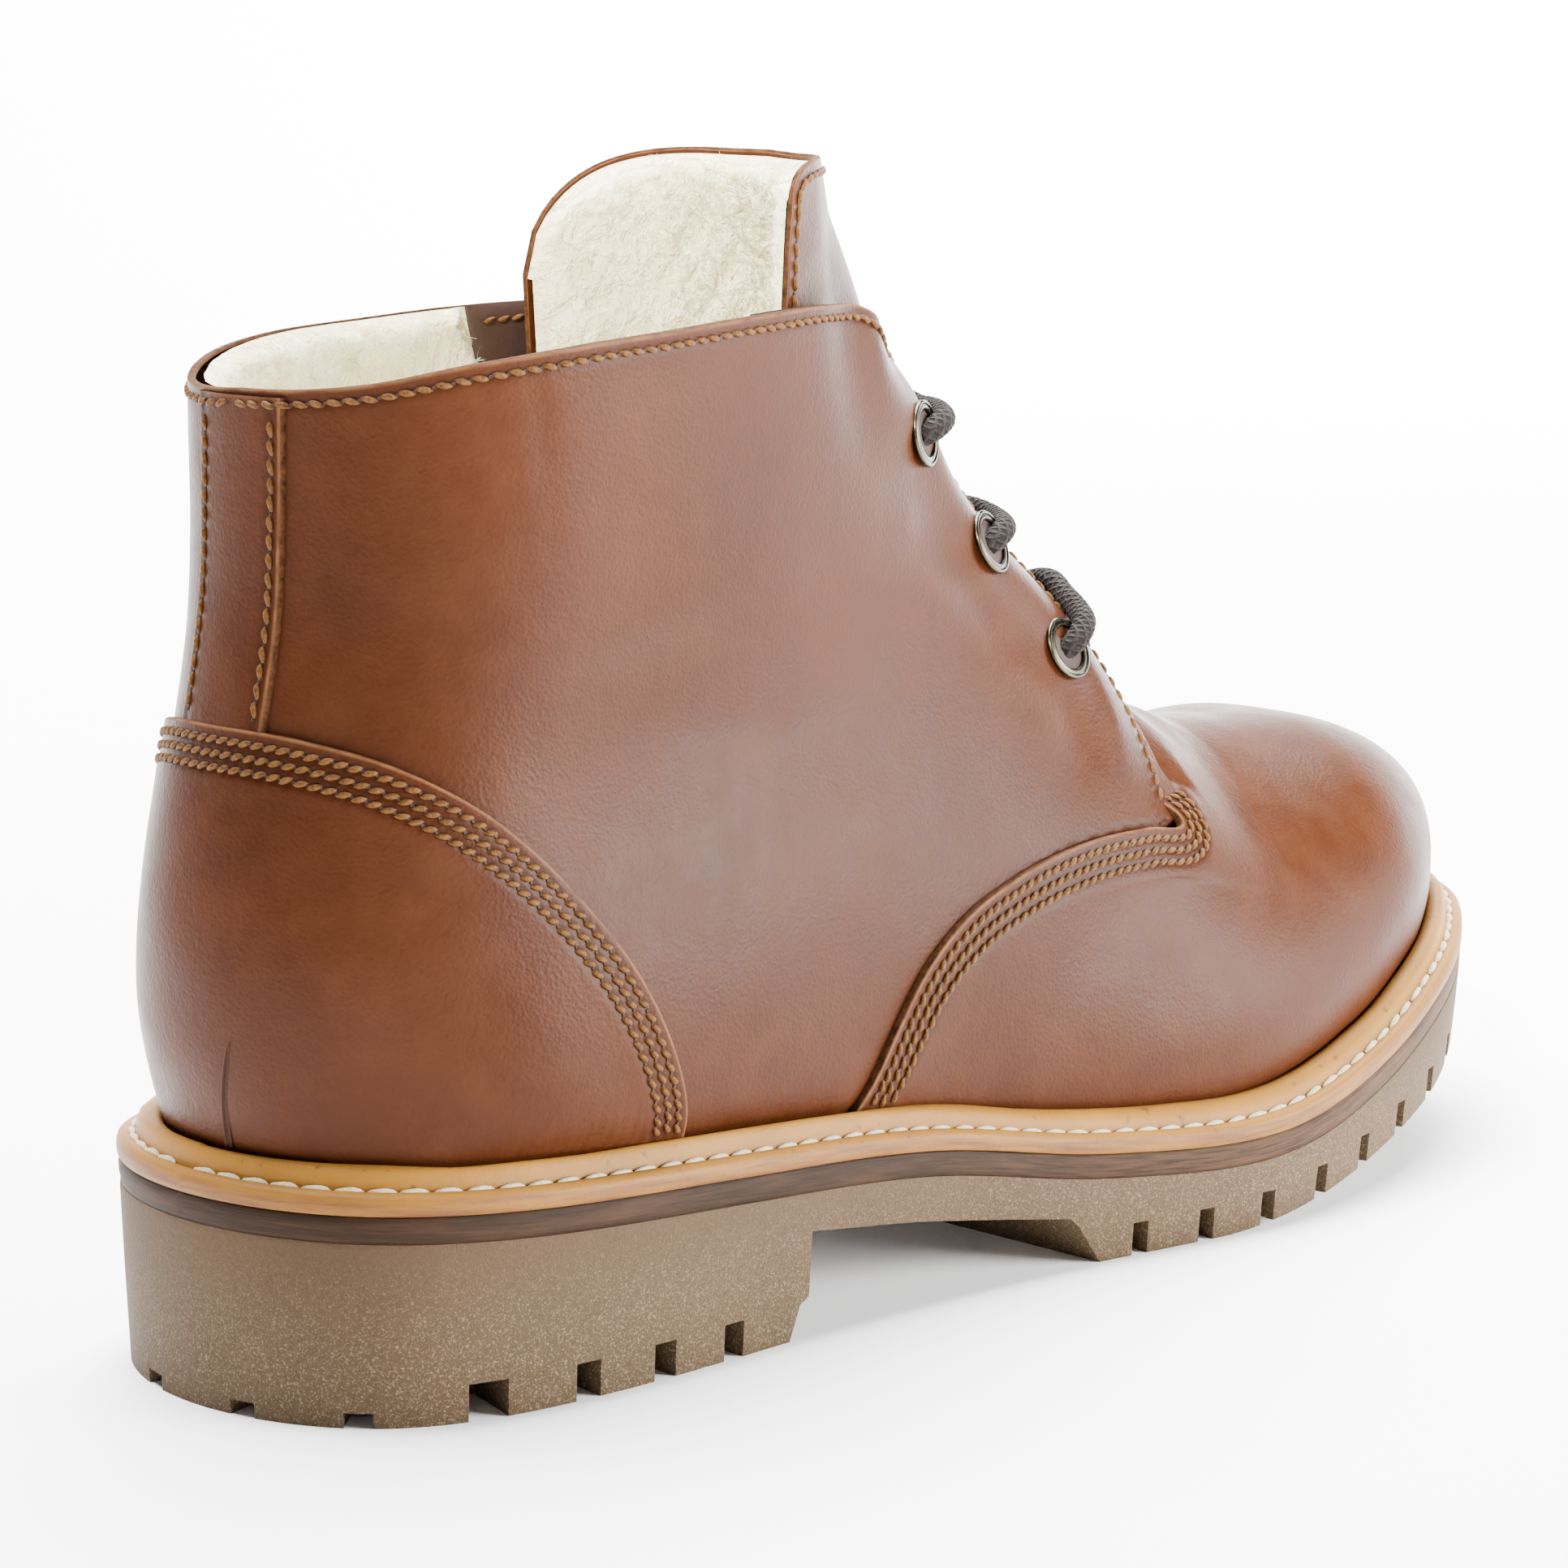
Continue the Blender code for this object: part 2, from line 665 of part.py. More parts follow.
# ---------------------------------------------------------------- sole
def make_outsole(parts, cutters, finish):
    """One-piece rubber sole: heel block, arch, forefoot with toe spring, and lugs."""
    sole = plate(
        "outsole", SOLE_INSET, SOLE_INSET + SOLE_DRAFT,
        lambda x: TOP(x) - MIDSOLE_THICK - GAP, ground, parts, finish,
    )
    arch = prism("arch_cutter", side_profile(ARCH), (0, 1, 0), 2 * CUT_SIDE, 0.0, cutters)
    boolean(sole, arch, "DIFFERENCE")
    slots = []
    for distance, width in HEEL_SLOTS:
        slots += edge_slots("heel_slot", distance, width, HEEL_SLOT_HEIGHT, cutters)
    _, _, lateral_run = at_distance(1.0)
    count = int((lateral_run - TOE_CLEAR - TOE_SLOT_FIRST) / TOE_SLOT_PITCH) + 1
    for k in range(count):
        distance = TOE_SLOT_FIRST + k * TOE_SLOT_PITCH
        slots += edge_slots("toe_slot", distance, TOE_SLOT_WIDTH, TOE_SLOT_HEIGHT, cutters)
    width, length, height = BACK_NOTCH
    for distance in BACK_NOTCHES:
        slots.append(edge_slot("back_notch", distance, width, height, length, cutters))
    boolean(sole, joined("lug_slots", slots, cutters), "DIFFERENCE")
    grooves = [cross_groove(distance, cutters) for distance, _ in HEEL_SLOTS[1:]]
    grooves += [
        cross_groove(TOE_SLOT_FIRST + k * TOE_SLOT_PITCH, cutters) for k in range(TOE_GROOVES)
    ]
    boolean(sole, joined("cross_grooves", grooves, cutters), "DIFFERENCE")
    return sole


def side_profile(rows):
    """A side view's points, set beside the boot so that a prism can cross it."""
    return [(x, -CUT_SIDE, z) for x, z in rows]


def cross_groove(distance, cutters):
    """A groove across the sole, from the end of one edge slot to the other."""
    ends = []
    for side in (1, -1):
        edge, inward, _ = at_distance(side * distance)
        ends.append(edge + inward * (SLOT_LENGTH - 1.5))
    middle = (ends[0] + ends[1]) / 2
    length = float(np.linalg.norm(ends[1] - ends[0]))
    inward = (ends[1] - ends[0]) / length
    floor = float(ground(middle[0]))
    center = (middle[0], middle[1], floor + (GROOVE_HEIGHT - CUT_UNDER) / 2)
    size = (length, GROOVE_WIDTH, GROOVE_HEIGHT + CUT_UNDER)
    return box_cutter("groove", center, size, inward, cutters)


def edge_slot(name, distance, width, height, length, cutters):
    """A slot cut into the sole's edge, from below its ground face."""
    edge, inward, _ = at_distance(distance)
    flat = edge + inward * (length - CUT_OUTSIDE) / 2
    floor = float(ground(edge[0] + inward[0] * length / 2))
    center = (flat[0], flat[1], floor + (height - CUT_UNDER) / 2)
    size = (length + CUT_OUTSIDE, width, height + CUT_UNDER)
    return box_cutter(name, center, size, inward, cutters)


def edge_slots(name, distance, width, height, cutters):
    """The same slot on both sides of the sole."""
    return [
        edge_slot(name, side * distance, width, height, SLOT_LENGTH, cutters)
        for side in (1, -1)
    ]


def make_midsole(parts, finish):
    return plate(
        "midsole", SOLE_INSET, SOLE_INSET, TOP, lambda x: TOP(x) - MIDSOLE_THICK, parts, finish,
    )


def make_welt(parts, finish):
    """A stitched ledge with a raised bead against the upper, as a closed ring."""
    t = ring_stations()
    foot_depth = welt_depth(t, GAP) - FACET_GAP
    bead_depth = welt_depth(t, GAP + BEAD_HEIGHT) - FACET_GAP
    bead_depth = np.minimum(bead_depth, foot_depth)
    start = {"edge": np.zeros_like(t), "bead": bead_depth, "foot": foot_depth}
    rings = []
    for edge, inward, rise in WELT:
        flat, _ = outline(t, start[edge] + inward)
        rings.append(np.column_stack([flat, TOP(flat[:, 0]) + GAP + rise]))
    points, faces = loft_ring(rings)
    return add_mesh("welt", points, faces, parts, finish)


def make_insole(parts, finish):
    """The footbed that lies inside the upper, on the midsole."""
    inset = welt_depth(ring_stations(), GAP) + WALL + 2 * GAP
    return plate(
        "insole", inset, inset, lambda x: TOP(x) + GAP + INSOLE_THICK,
        lambda x: TOP(x) + GAP, parts, finish,
    )


# ---------------------------------------------------------------- upper
def opening_edge(side, label):
    """One facing's front edge, seen in the front view, from the vamp up to the collar."""
    s = column(OPENING, OPENING_COLUMNS, "s")
    half = column(OPENING, OPENING_COLUMNS, label)
    return s[:, None] * ALONG + side * half[:, None] * np.array([0, 1.0, 0])


def opening_profile():
    """The throat seen from the front: both facings' edges and the vamp's back edge."""
    lateral = opening_edge(-1, "lateral")
    medial = opening_edge(1, "medial")
    arch = []
    for u in np.linspace(-1, 1, 9)[1:-1]:
        corner = lateral[0] if u < 0 else medial[0]
        middle = VAMP_EDGE_S * ALONG
        arch.append(middle + (corner - middle) * (abs(u), abs(u), abs(u)))
    return list(lateral[::-1]) + arch + list(medial)


def eyelet_places():
    """(name, centre, outward direction) of each eyelet, bottom pair first."""
    found = []
    for pair, s in enumerate(EYELET_S, 1):
        for side, label in ((-1, "lateral"), (1, "medial")):
            at = front_point(side * EYELET_Y, s)
            found.append((f"eyelet_{label}_{pair}", at, normal(at)))
    return found


def make_upper(grid, parts, cutters, finish):
    """One hollow solid, open at the collar, down the throat and underneath."""
    inner = shifted(grid, -WALL)
    rings = list(grid) + list(inner[::-1])
    points, faces = loft_ring(rings)
    upper = add_mesh("upper", points, faces, parts, finish)
    throat = prism("throat_cutter", opening_profile(), EYE, THROAT_FAR, THROAT_NEAR, cutters)
    boolean(upper, throat, "DIFFERENCE")
    holes = []
    for name, at, way in eyelet_places():
        bpy.ops.mesh.primitive_cylinder_add(
            vertices=12, radius=(BARREL_RADIUS + GAP) * MM, depth=3 * WALL * MM)
        hole = bpy.context.object
        hole.name = name + "_hole"
        hole.data.transform(Vector(way).to_track_quat("Z", "Y").to_matrix().to_4x4())
        hole.data.transform(Matrix.Translation(Vector(place(at))))
        holes.append(hole)
    boolean(upper, joined("eyelet_holes", holes, cutters), "DIFFERENCE")
    return upper


def make_overlay(name, grid, start_column, columns, rows, thick, profile, parts, cutters, finish):
    """A piece that stands proud of the upper: a shell over it, cut to a side view."""
    picked = np.arange(start_column, start_column + columns) % grid.shape[1]
    patch = grid[rows][:, picked]
    shell = add_mesh(
        name,
        *loft_patch(shifted(patch, GAP + thick, False), shifted(patch, GAP, False)),
        parts, finish,
    )
    side = side_profile(profile)
    cutter = prism(name + "_outline", side, (0, 1, 0), 2 * CUT_SIDE, 0.0, cutters)
    boolean(shell, cutter, "INTERSECT")
    return shell


def counter_profile():
    """The counter's side view: its arched top, and its foot along the welt's bead."""
    top = [row for row in COUNTER if row[1] > 30]
    foot_x = np.linspace(top[-1][0], -12, 9)
    lift = 2 * GAP + BEAD_HEIGHT
    foot = [(x, float(TOP(max(x, 0.0))) + lift) for x in foot_x]
    return list(top) + [(68.0, foot[0][1])] + foot[1:]


def make_counter(grid, parts, cutters, finish):
    columns = 27
    return make_overlay(
        "heel_counter", grid, -(columns // 2), columns, slice(0, ROWS), COUNTER_THICK,
        counter_profile(), parts, cutters, finish)


def make_back_strip(parts, finish):
    """The narrow strip up the back seam, from the counter to the collar."""
    y, z = np.meshgrid(
        np.linspace(-STRIP_HALF, STRIP_HALF, 9), np.linspace(STRIP_FOOT, STRIP_HEAD, 9))
    start = np.stack([np.full_like(y, AXIS[0]), y, z], -1)
    patch = cast(start, np.array([-1.0, 0.0, 0.0]), AXIS[0] + CUT_OUTSIDE)
    outer = shifted(patch, STRIP_GAP + STRIP_THICK, False)
    inner = shifted(patch, STRIP_GAP, False)
    return add_mesh("back_strip", *loft_patch(outer, inner), parts, finish)


def make_tongue(parts, finish):
    """A thick lined sheet under the facings, standing above the collar."""
    across = np.linspace(-1, 1, 11)
    along = np.linspace(0, 1, 17)[:, None]
    height = TONGUE_TOP - TONGUE_CORNER * across**6
    top = s_at_height(across * TONGUE[-1][1], height)
    s = TONGUE_BOTTOM_S + along * (top - TONGUE_BOTTOM_S)
    lateral = table_curve(TONGUE, TONGUE_COLUMNS, "s", "lateral")
    medial = table_curve(TONGUE, TONGUE_COLUMNS, "s", "medial")
    face = front_point(across * np.where(across < 0, lateral(s), medial(s)), s)
    outer = shifted(face, -(WALL + TONGUE_GAP), False)
    inner = shifted(face, -(WALL + TONGUE_GAP + TONGUE_THICK), False)
    return add_mesh("tongue", *loft_patch(outer, inner), parts, finish)


# ---------------------------------------------------------------- eyelets and lace
def make_eyelet(name, at, way, parts, finish):
    """A flange on the leather and a barrel through the wall, turned about one axis."""
    low = GAP + 0.2
    profile = (
        (BORE_RADIUS, low + FLANGE_THICK - 0.25), (BORE_RADIUS + 0.4, low + FLANGE_THICK),
        (EYELET_RADIUS - 0.5, low + FLANGE_THICK), (EYELET_RADIUS, low + 0.3),
        (EYELET_RADIUS, low), (BARREL_RADIUS, low), (BARREL_RADIUS, -WALL - 0.2),
        (BORE_RADIUS, -WALL - 0.2),
    )
    mesh = bpy.data.meshes.new(name)
    count = len(profile)
    mesh.from_pydata(
        [(r * MM, 0.0, z * MM) for r, z in profile],
        [(k, (k + 1) % count) for k in range(count)], [])
    made = bpy.data.objects.new(name, mesh)
    parts.objects.link(made)
    turn = made.modifiers.new("Turn", "SCREW")
    turn.axis = "Z"
    turn.angle = 2 * math.pi
    turn.steps = 10
    turn.render_steps = 10
    turn.use_merge_vertices = True
    turn.merge_threshold = 0.00001
    turn.use_normal_calculate = True
    made.rotation_mode = "QUATERNION"
    made.rotation_quaternion = Vector(way).to_track_quat("Z", "Y")
    made.location = Vector(place(at))
    mesh.materials.append(finish)
    return made


def lace_path(side, s):
    """From over an eyelet, across the tongue, to the far facing's edge."""
    points = []
    for across, up, lift in LACE:
        at = front_point(-side * across, s + up)
        points.append(at + normal(at) * lift)
    return np.array(points)


def tube(name, path, where):
    """A round cord along a path, as a closed tube."""
    sides = LACE_SIDES
    order = np.arange(len(path), dtype=float)
    curves = [smooth(order, path[:, k].copy()) for k in range(3)]
    at = np.linspace(0, len(path) - 1, 2 * len(path) - 1)
    center = np.stack([c(at) for c in curves], -1)
    ahead = np.gradient(center, axis=0)
    ahead /= np.linalg.norm(ahead, axis=1)[:, None]
    up = np.cross(ahead, STEADY)
    up /= np.linalg.norm(up, axis=1)[:, None]
    over = np.cross(ahead, up)
    turn = np.linspace(0, 2 * math.pi, sides, endpoint=False)
    rings = center[:, None] + LACE_RADIUS * (
        np.cos(turn)[None, :, None] * up[:, None] + np.sin(turn)[None, :, None] * over[:, None])
    count = len(center)
    faces = []
    for i in range(count - 1):
        for j in range(sides):
            n = (j + 1) % sides
            faces.append((i * sides + j, i * sides + n, (i + 1) * sides + n, (i + 1) * sides + j))
    faces.append(tuple(range(sides)))
    faces.append(tuple(range(count * sides - 1, (count - 1) * sides - 1, -1)))
    return add_mesh(name, rings.reshape(-1, 3), faces, where)


def make_crossing(number, s, parts, cutters, finish):
    """Two runs of lace that cross on the tongue, joined where they touch."""
    first = tube(f"lace_crossing_{number}", lace_path(-1, s), parts)
    first.data.materials.append(finish)
    second = tube(f"lace_run_{number}", lace_path(1, s), cutters)
    boolean(first, second, "UNION")
    return first


# ---------------------------------------------------------------- whole boot
def main():
    clear_scene()
    parts = collection("ankle_boot")
    cutters = collection("cutters")
    rubber = material("rubber_outsole", (0.31, 0.235, 0.165), 0.75)
    mid = material("midsole_dark", (0.12, 0.08, 0.055), 0.7)
    tan = material("welt_tan", (0.68, 0.42, 0.17), 0.55)
    leather = material("leather_cognac", (0.27, 0.095, 0.045), 0.42)
    fleece = material("fleece_cream", (0.82, 0.78, 0.66), 0.95)
    metal = material("eyelet_metal", (0.55, 0.5, 0.42), 0.35, 1.0)
    cord = material("lace_brown", (0.045, 0.032, 0.026), 0.85)
    grid = upper_grid()
    make_outsole(parts, cutters, rubber)
    make_midsole(parts, mid)
    make_welt(parts, tan)
    make_insole(parts, fleece)
    make_upper(grid, parts, cutters, leather)
    make_counter(grid, parts, cutters, leather)
    make_back_strip(parts, leather)
    make_tongue(parts, leather)
    for name, at, way in eyelet_places():
        make_eyelet(name, at, way, parts, metal)
    for number, s in enumerate(EYELET_S, 1):
        make_crossing(number, s, parts, cutters, cord)


main()
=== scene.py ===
"""Looks of a lace-up ankle boot, laid out as an add-on.

Shapes are worked out in millimetres, with x from the back of the heel to the toe, y to the
medial side and z up from the floor. Every new piece is a grid of points that follows the
upper's own form, or a profile carried along a path, and is placed in metres at the end.
"""
import math

import bmesh
import bpy
import numpy as np
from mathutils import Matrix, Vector


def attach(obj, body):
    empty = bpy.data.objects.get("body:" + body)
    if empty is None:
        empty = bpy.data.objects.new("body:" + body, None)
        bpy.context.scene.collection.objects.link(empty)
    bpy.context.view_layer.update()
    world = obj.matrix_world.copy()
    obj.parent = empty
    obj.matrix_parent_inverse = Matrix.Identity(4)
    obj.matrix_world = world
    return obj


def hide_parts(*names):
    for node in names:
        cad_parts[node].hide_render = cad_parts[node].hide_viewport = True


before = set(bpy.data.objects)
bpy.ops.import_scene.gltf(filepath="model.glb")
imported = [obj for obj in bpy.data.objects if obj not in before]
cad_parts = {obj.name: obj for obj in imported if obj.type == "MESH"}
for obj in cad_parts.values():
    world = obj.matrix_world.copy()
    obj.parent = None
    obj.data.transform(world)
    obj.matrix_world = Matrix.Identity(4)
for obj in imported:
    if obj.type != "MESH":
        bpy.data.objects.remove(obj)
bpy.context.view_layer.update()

bl_info = {
    "name": "Lace-up Ankle Boot",
    "version": (1, 0, 0),
    "blender": (4, 5, 0),
    "location": "View3D > Sidebar > Boot",
    "description": "Builds the visible pieces of a welted, fleece-lined ankle boot",
    "category": "Add Mesh",
}

MM = 0.001
SIDES = ((-1, "lateral"), (1, "medial"))


class Table:
    """A short table of numbers with named columns."""

    def __init__(self, names, *rows):
        self.names = names.split()
        self.rows = np.array(rows, float)

    def __getitem__(self, name):
        return self.rows[:, self.names.index(name)]

    def curve(self, key, name):
        """A smooth curve of one column over another."""
        return smooth(self[key], self[name])

    def records(self):
        """Each row by its columns' names."""
        return [dict(zip(self.names, row)) for row in self.rows]


# -------------------- sizes of the last and sole
# Stations are measured from the back of the heel along the boot, heights from the floor, and
# widths from the middle line. s runs up the instep in the front view. GAP parts two materials.
GAP = 0.3
LENGTH = 305.0
TIP_Y = 7.0
MIDSOLE_THICK = 4.0
WALL = 4.6
HEEL_TOP = 33.6
TOE_TOP = 38.4
SOLE = Table(
    "station lateral medial top",
    (12, 31.0, 31.0, 33.2), (40, 42.5, 42.0, 31.6), (80, 44.5, 42.0, 29.2),
    (120, 45.0, 37.0, 25.8), (160, 50.0, 42.0, 18.8), (200, 56.0, 52.0, 17.0),
    (230, 53.0, 55.0, 22.8), (260, 44.5, 50.5, 32.0), (285, 29.0, 38.0, 36.6),
    (298, 15.0, 25.0, 38.0),
)
SPRING_START = 186.0
SPRING_RISE = 27.0
SPRING_POWER = 1.45
# Side view of the space between heel block and forefoot, as stations and heights.
ARCH = (
    (87.5, -5.0), (88.2, 0.0), (90.4, 5.8), (92.3, 6.8), (92.6, 17.6),
    (117.0, 14.4), (151.0, 8.8), (153.0, 7.0), (158.0, 0.0), (159.0, -5.0),
)
FOOT = Table(
    "station ridge_y ridge_z power",
    (30, 0.0, 70.0, 2.0), (80, 0.0, 96.0, 2.0), (120, 0.0, 108.0, 1.8),
    (150, 0.0, 110.0, 1.7), (172, 1.0, 107.6, 1.55), (190, 2.0, 98.4, 1.55),
    (215, 3.0, 80.5, 1.65), (240, 5.0, 77.8, 1.8), (262, 6.5, 78.2, 1.95),
    (290, 7.0, 77.0, 2.05),
)
WELT_THICK = 3.0
LAST_INSET = 6.5
BULGE_UP = 12.6
TUCK = 36.0
RIDGE_ROUND = 6.0
TOE_START = 245.0
TOE_POWER = 2.3
SHAFT = Table(
    "height back front lateral medial middle power",
    (30, 9.0, 150, 34.0, 33.5, 46, 2.1), (43, 5.5, 175, 36.4, 36.0, 46, 2.1),
    (57, 2.4, 190, 37.4, 37.0, 46, 2.1), (69, 2.0, 198, 37.0, 36.0, 46, 2.1),
    (85, 4.4, 201, 35.0, 34.0, 47, 2.1), (101, 8.7, 192.7, 33.8, 33.0, 49, 2.1),
    (118, 12.5, 175.2, 34.4, 33.6, 52, 2.1), (138, 14.2, 159.6, 36.4, 35.6, 55, 2.1),
    (160, 14.6, 143.6, 38.0, 37.2, 57, 2.1), (190, 14.6, 132, 40.0, 39.0, 58, 2.1),
)
BLEND = 16.0
FORM_SCALE = 38.0
BACK_ROUND = 24.0
COLLAR = Table(
    "station height",
    (10, 154.0), (20, 155.8), (30, 158.4), (45, 160.6), (70, 162.3),
    (90, 163.4), (110, 163.7), (125, 162.9), (140, 161.4), (160, 159.6),
)
COLLAR_MEDIAL_DROP = 2.0

# -------------------- sizes of the panels
COUNTER = Table(
    "station height",
    (68.6, 30.0), (67.6, 40.0), (65.0, 49.0), (57.5, 65.0), (47, 79.2), (34, 91.5),
    (21, 100.0), (13.5, 103.2),
)
COUNTER_BACK = 104.3
VAMP = Table(
    "station height",
    (104, 29.0), (110, 38.5), (116, 47.5), (123, 55.5), (133, 62.2), (145, 66.4),
    (157, 69.0), (170, 70.2), (182, 70.0),
)
VAMP_BACK = Table(
    "s lateral medial",
    (-86.5, 35.5, 32.5), (-82.0, 33.4, 30.6), (-78.0, 30.6, 28.0), (-74.5, 26.0, 24.5),
    (-71.5, 19.0, 19.0), (-70.0, 9.0, 9.0),
)
OPENING = Table(
    "s lateral medial",
    (-86.5, 35.5, 32.5), (-84.0, 32.0, 30.0), (-81.5, 28.5, 27.5), (-78.5, 25.0, 24.5),
    (-72.0, 19.8, 19.8), (-63.0, 15.4, 15.4), (-50.0, 12.2, 12.2), (-35.0, 10.6, 10.6),
    (-18.0, 10.0, 10.0), (-2.0, 10.0, 10.0), (5.0, 11.0, 11.0), (10.0, 14.0, 14.0),
    (13.0, 17.5, 17.5),
)
# Middle of each eyelet, bottom pair first: s, and distance from the middle line.
EYELETS = ((-53.4, 23.0), (-28.6, 18.6), (-1.2, 20.8))
TONGUE = Table(
    "s lateral medial",
    (-94, 37.0, 33.0), (-85, 36.5, 33.0), (-70, 30.5, 30.0), (-45, 26.5, 26.5),
    (-10, 27.0, 26.5), (10, 29.0, 29.0), (24, 30.9, 32.4), (36, 31.6, 33.2),
)
TONGUE_BOTTOM_S = -82.0
TONGUE_TOP = 187.9
VAMP_FOOT = 110.0
QUARTER_FOOT = 184.0
COUNTER_FOOT = 62.0

# -------------------- sizes of the tread
# Slots in the heel block's edge: distance round the edge from the heel's back, and width.
HEEL_SLOTS = ((52.0, 6.6), (70.2, 4.6), (85.6, 4.4), (100.4, 4.2))
HEEL_SLOT_HEIGHT = 6.0
TOE_SLOT_FIRST = 191.4
TOE_SLOT_PITCH = 14.8
TOE_SLOT_WIDTH = 3.3
TOE_SLOT_HEIGHT = 5.8
TOE_CLEAR = 6.0
SLOT_LENGTH = 14.0
GROOVE_WIDTH = 7.0
GROOVE_HEIGHT = 3.6
TOE_GROOVES = 6
BACK_NOTCHES = (-31.0, -11.0, 11.0, 31.0)
BACK_NOTCH_WIDTH = 4.6
BACK_NOTCH_LENGTH = 8.0
BACK_NOTCH_HEIGHT = 2.4
CUT_UNDER = 8.0
CUT_OUTSIDE = 6.0
CUT_SIDE = 90.0

# -------------------- directions
# EYE looks down on the instep from ahead, ALONG runs up it; AXIS is a point in the ankle.
EYE = np.array([1.0, 0.0, 1.0]) / math.sqrt(2)
ALONG = np.array([-1.0, 0.0, 1.0]) / math.sqrt(2)
BACKWARD = np.array([-1.0, 0.0, 0.0])
INSIDE = 170.0
AXIS = np.array([78.0, 0.0, 42.0])
HALVINGS = 26
FACE_STEP = 0.05
SIDE_POINTS = 1601


# -------------------- curves
def cubic(u, step, start, start_slope, end, end_slope):
    """The cubic from start to end as u goes from 0 to 1 over a step, with its slopes there."""
    return (
        (2 * u**3 - 3 * u**2 + 1) * start
        + (u**3 - 2 * u**2 + u) * step * start_slope
        + (3 * u**2 - 2 * u**3) * end
        + (u**3 - u**2) * step * end_slope
    )


def smooth(xs, ys):
    """A curve through a table: cubic pieces whose slopes come from the rows on either side."""
    step = np.diff(xs)
    rise = np.diff(ys) / step
    slope = np.empty_like(ys)
    slope[1:-1] = (rise[:-1] * step[1:] + rise[1:] * step[:-1]) / (step[:-1] + step[1:])
    slope[0] = 1.5 * rise[0] - 0.5 * slope[1]
    slope[-1] = 1.5 * rise[-1] - 0.5 * slope[-2]

    def value(x):
        x = np.clip(np.asarray(x, float), xs[0], xs[-1])
        i = np.clip(np.searchsorted(xs, x, side="right") - 1, 0, len(xs) - 2)
        return cubic((x - xs[i]) / step[i], step[i], ys[i], slope[i], ys[i + 1], slope[i + 1])

    return value


def closed_smooth(points):
    """A closed curve through points, and its knots: cubics whose slopes are solved together so
    that the curvature is continuous, over steps as long as the square root of their chords."""
    count = len(points)
    chord = np.sqrt(np.linalg.norm(np.roll(points, -1, 0) - points, axis=1))
    left = np.zeros((count, count))
    right = np.zeros_like(points)
    for i in range(count):
        before = chord[i - 1]
        after = chord[i]
        nxt = (i + 1) % count
        left[i, i - 1] += after
        left[i, i] += 2 * (before + after)
        left[i, nxt] += before
        right[i] = 3 * (
            after / before * (points[i] - points[i - 1])
            + before / after * (points[nxt] - points[i])
        )
    slope = np.linalg.solve(left, right)
    knots = np.concatenate([[0.0], np.cumsum(chord)])

    def value(t):
        t = np.mod(t, knots[-1])
        i = np.clip(np.searchsorted(knots, t, side="right") - 1, 0, count - 1)
        u = ((t - knots[i]) / chord[i])[..., None]
        nxt = (i + 1) % count
        return cubic(u, chord[i][..., None], points[i], slope[i], points[nxt], slope[nxt])

    return value, knots


def run_of(points):
    """Length run along a line of points."""
    step = np.linalg.norm(np.diff(points, axis=0), axis=1)
    return np.concatenate([[0.0], np.cumsum(step)])


def resample(points, count):
    """The same line with its points evenly spaced, rounded through the given ones."""
    points = np.asarray(points, float)
    run = run_of(points)
    fine = np.linspace(0, run[-1], 8 * count)
    line = np.stack([smooth(run, points[:, k].copy())(fine) for k in range(3)], -1)
    length = run_of(line)
    at = np.linspace(0, length[-1], count)
    return np.stack([np.interp(at, length, line[:, k]) for k in range(3)], -1)


def unit(v):
    """Vectors divided by their length."""
    return v / np.maximum(np.linalg.norm(v, axis=-1), 1e-9)[..., None]


def turns(count):
    """Evenly spaced angles once round, the last one short of the first."""
    return np.linspace(0, 2 * math.pi, count, endpoint=False)


def halve(holds, low, high):
    """The largest value between low and high for which holds(value) is true, by halving."""
    for _ in range(HALVINGS):
        mid = (low + high) / 2
        held = holds(mid)
        low = np.where(held, mid, low)
        high = np.where(held, high, mid)
    return low


def step_up(x, low, high):
    """0 below low, 1 above high, with a soft S between."""
    t = np.clip((np.asarray(x, float) - low) / (high - low), 0, 1)
    return t * t * (3 - 2 * t)


# -------------------- the sole's outline
def outline_points():
    """The sole's corners in plan: heel, lateral side, toe tip, medial side back to the heel."""
    station = SOLE["station"]
    down = np.stack([station, -SOLE["lateral"]], 1)
    back = np.stack([station, SOLE["medial"]], 1)[::-1]
    return np.vstack([[[0.0, 0.0]], down, [[LENGTH, TIP_Y]], back])


OUTLINE, KNOTS = closed_smooth(outline_points())
TOE_KNOT = KNOTS[len(SOLE.rows) + 1]
TOP = smooth(
    np.concatenate([[0.0], SOLE["station"], [LENGTH]]),
    np.concatenate([[HEEL_TOP], SOLE["top"], [TOE_TOP]]),
)


def outline(t, inset=0.0):
    """The outline drawn in by inset; t is 0 at the heel, 1 or -1 at the toe tip, and is
    positive down the lateral side."""
    t = np.asarray(t, float)
    knot = np.where(t >= 0, t * TOE_KNOT, KNOTS[-1] + t * (KNOTS[-1] - TOE_KNOT))
    small = 1e-3
    ahead = unit(OUTLINE(knot + small) - OUTLINE(knot - small))
    inward = np.stack([-ahead[..., 1], ahead[..., 0]], -1)
    return OUTLINE(knot) + inward * np.broadcast_to(inset, t.shape)[..., None], inward


def ground(x):
    """The sole's underside: flat, then rising as a power of the distance to the toe."""
    along = np.clip((np.asarray(x, float) - SPRING_START) / (LENGTH - SPRING_START), 0, 1)
    return SPRING_RISE * along**SPRING_POWER


def side_run(side):
    """t and length run down one side (1 lateral, -1 medial)."""
    t = side * np.linspace(0, 1, SIDE_POINTS)
    points, _ = outline(t)
    return t, run_of(points)


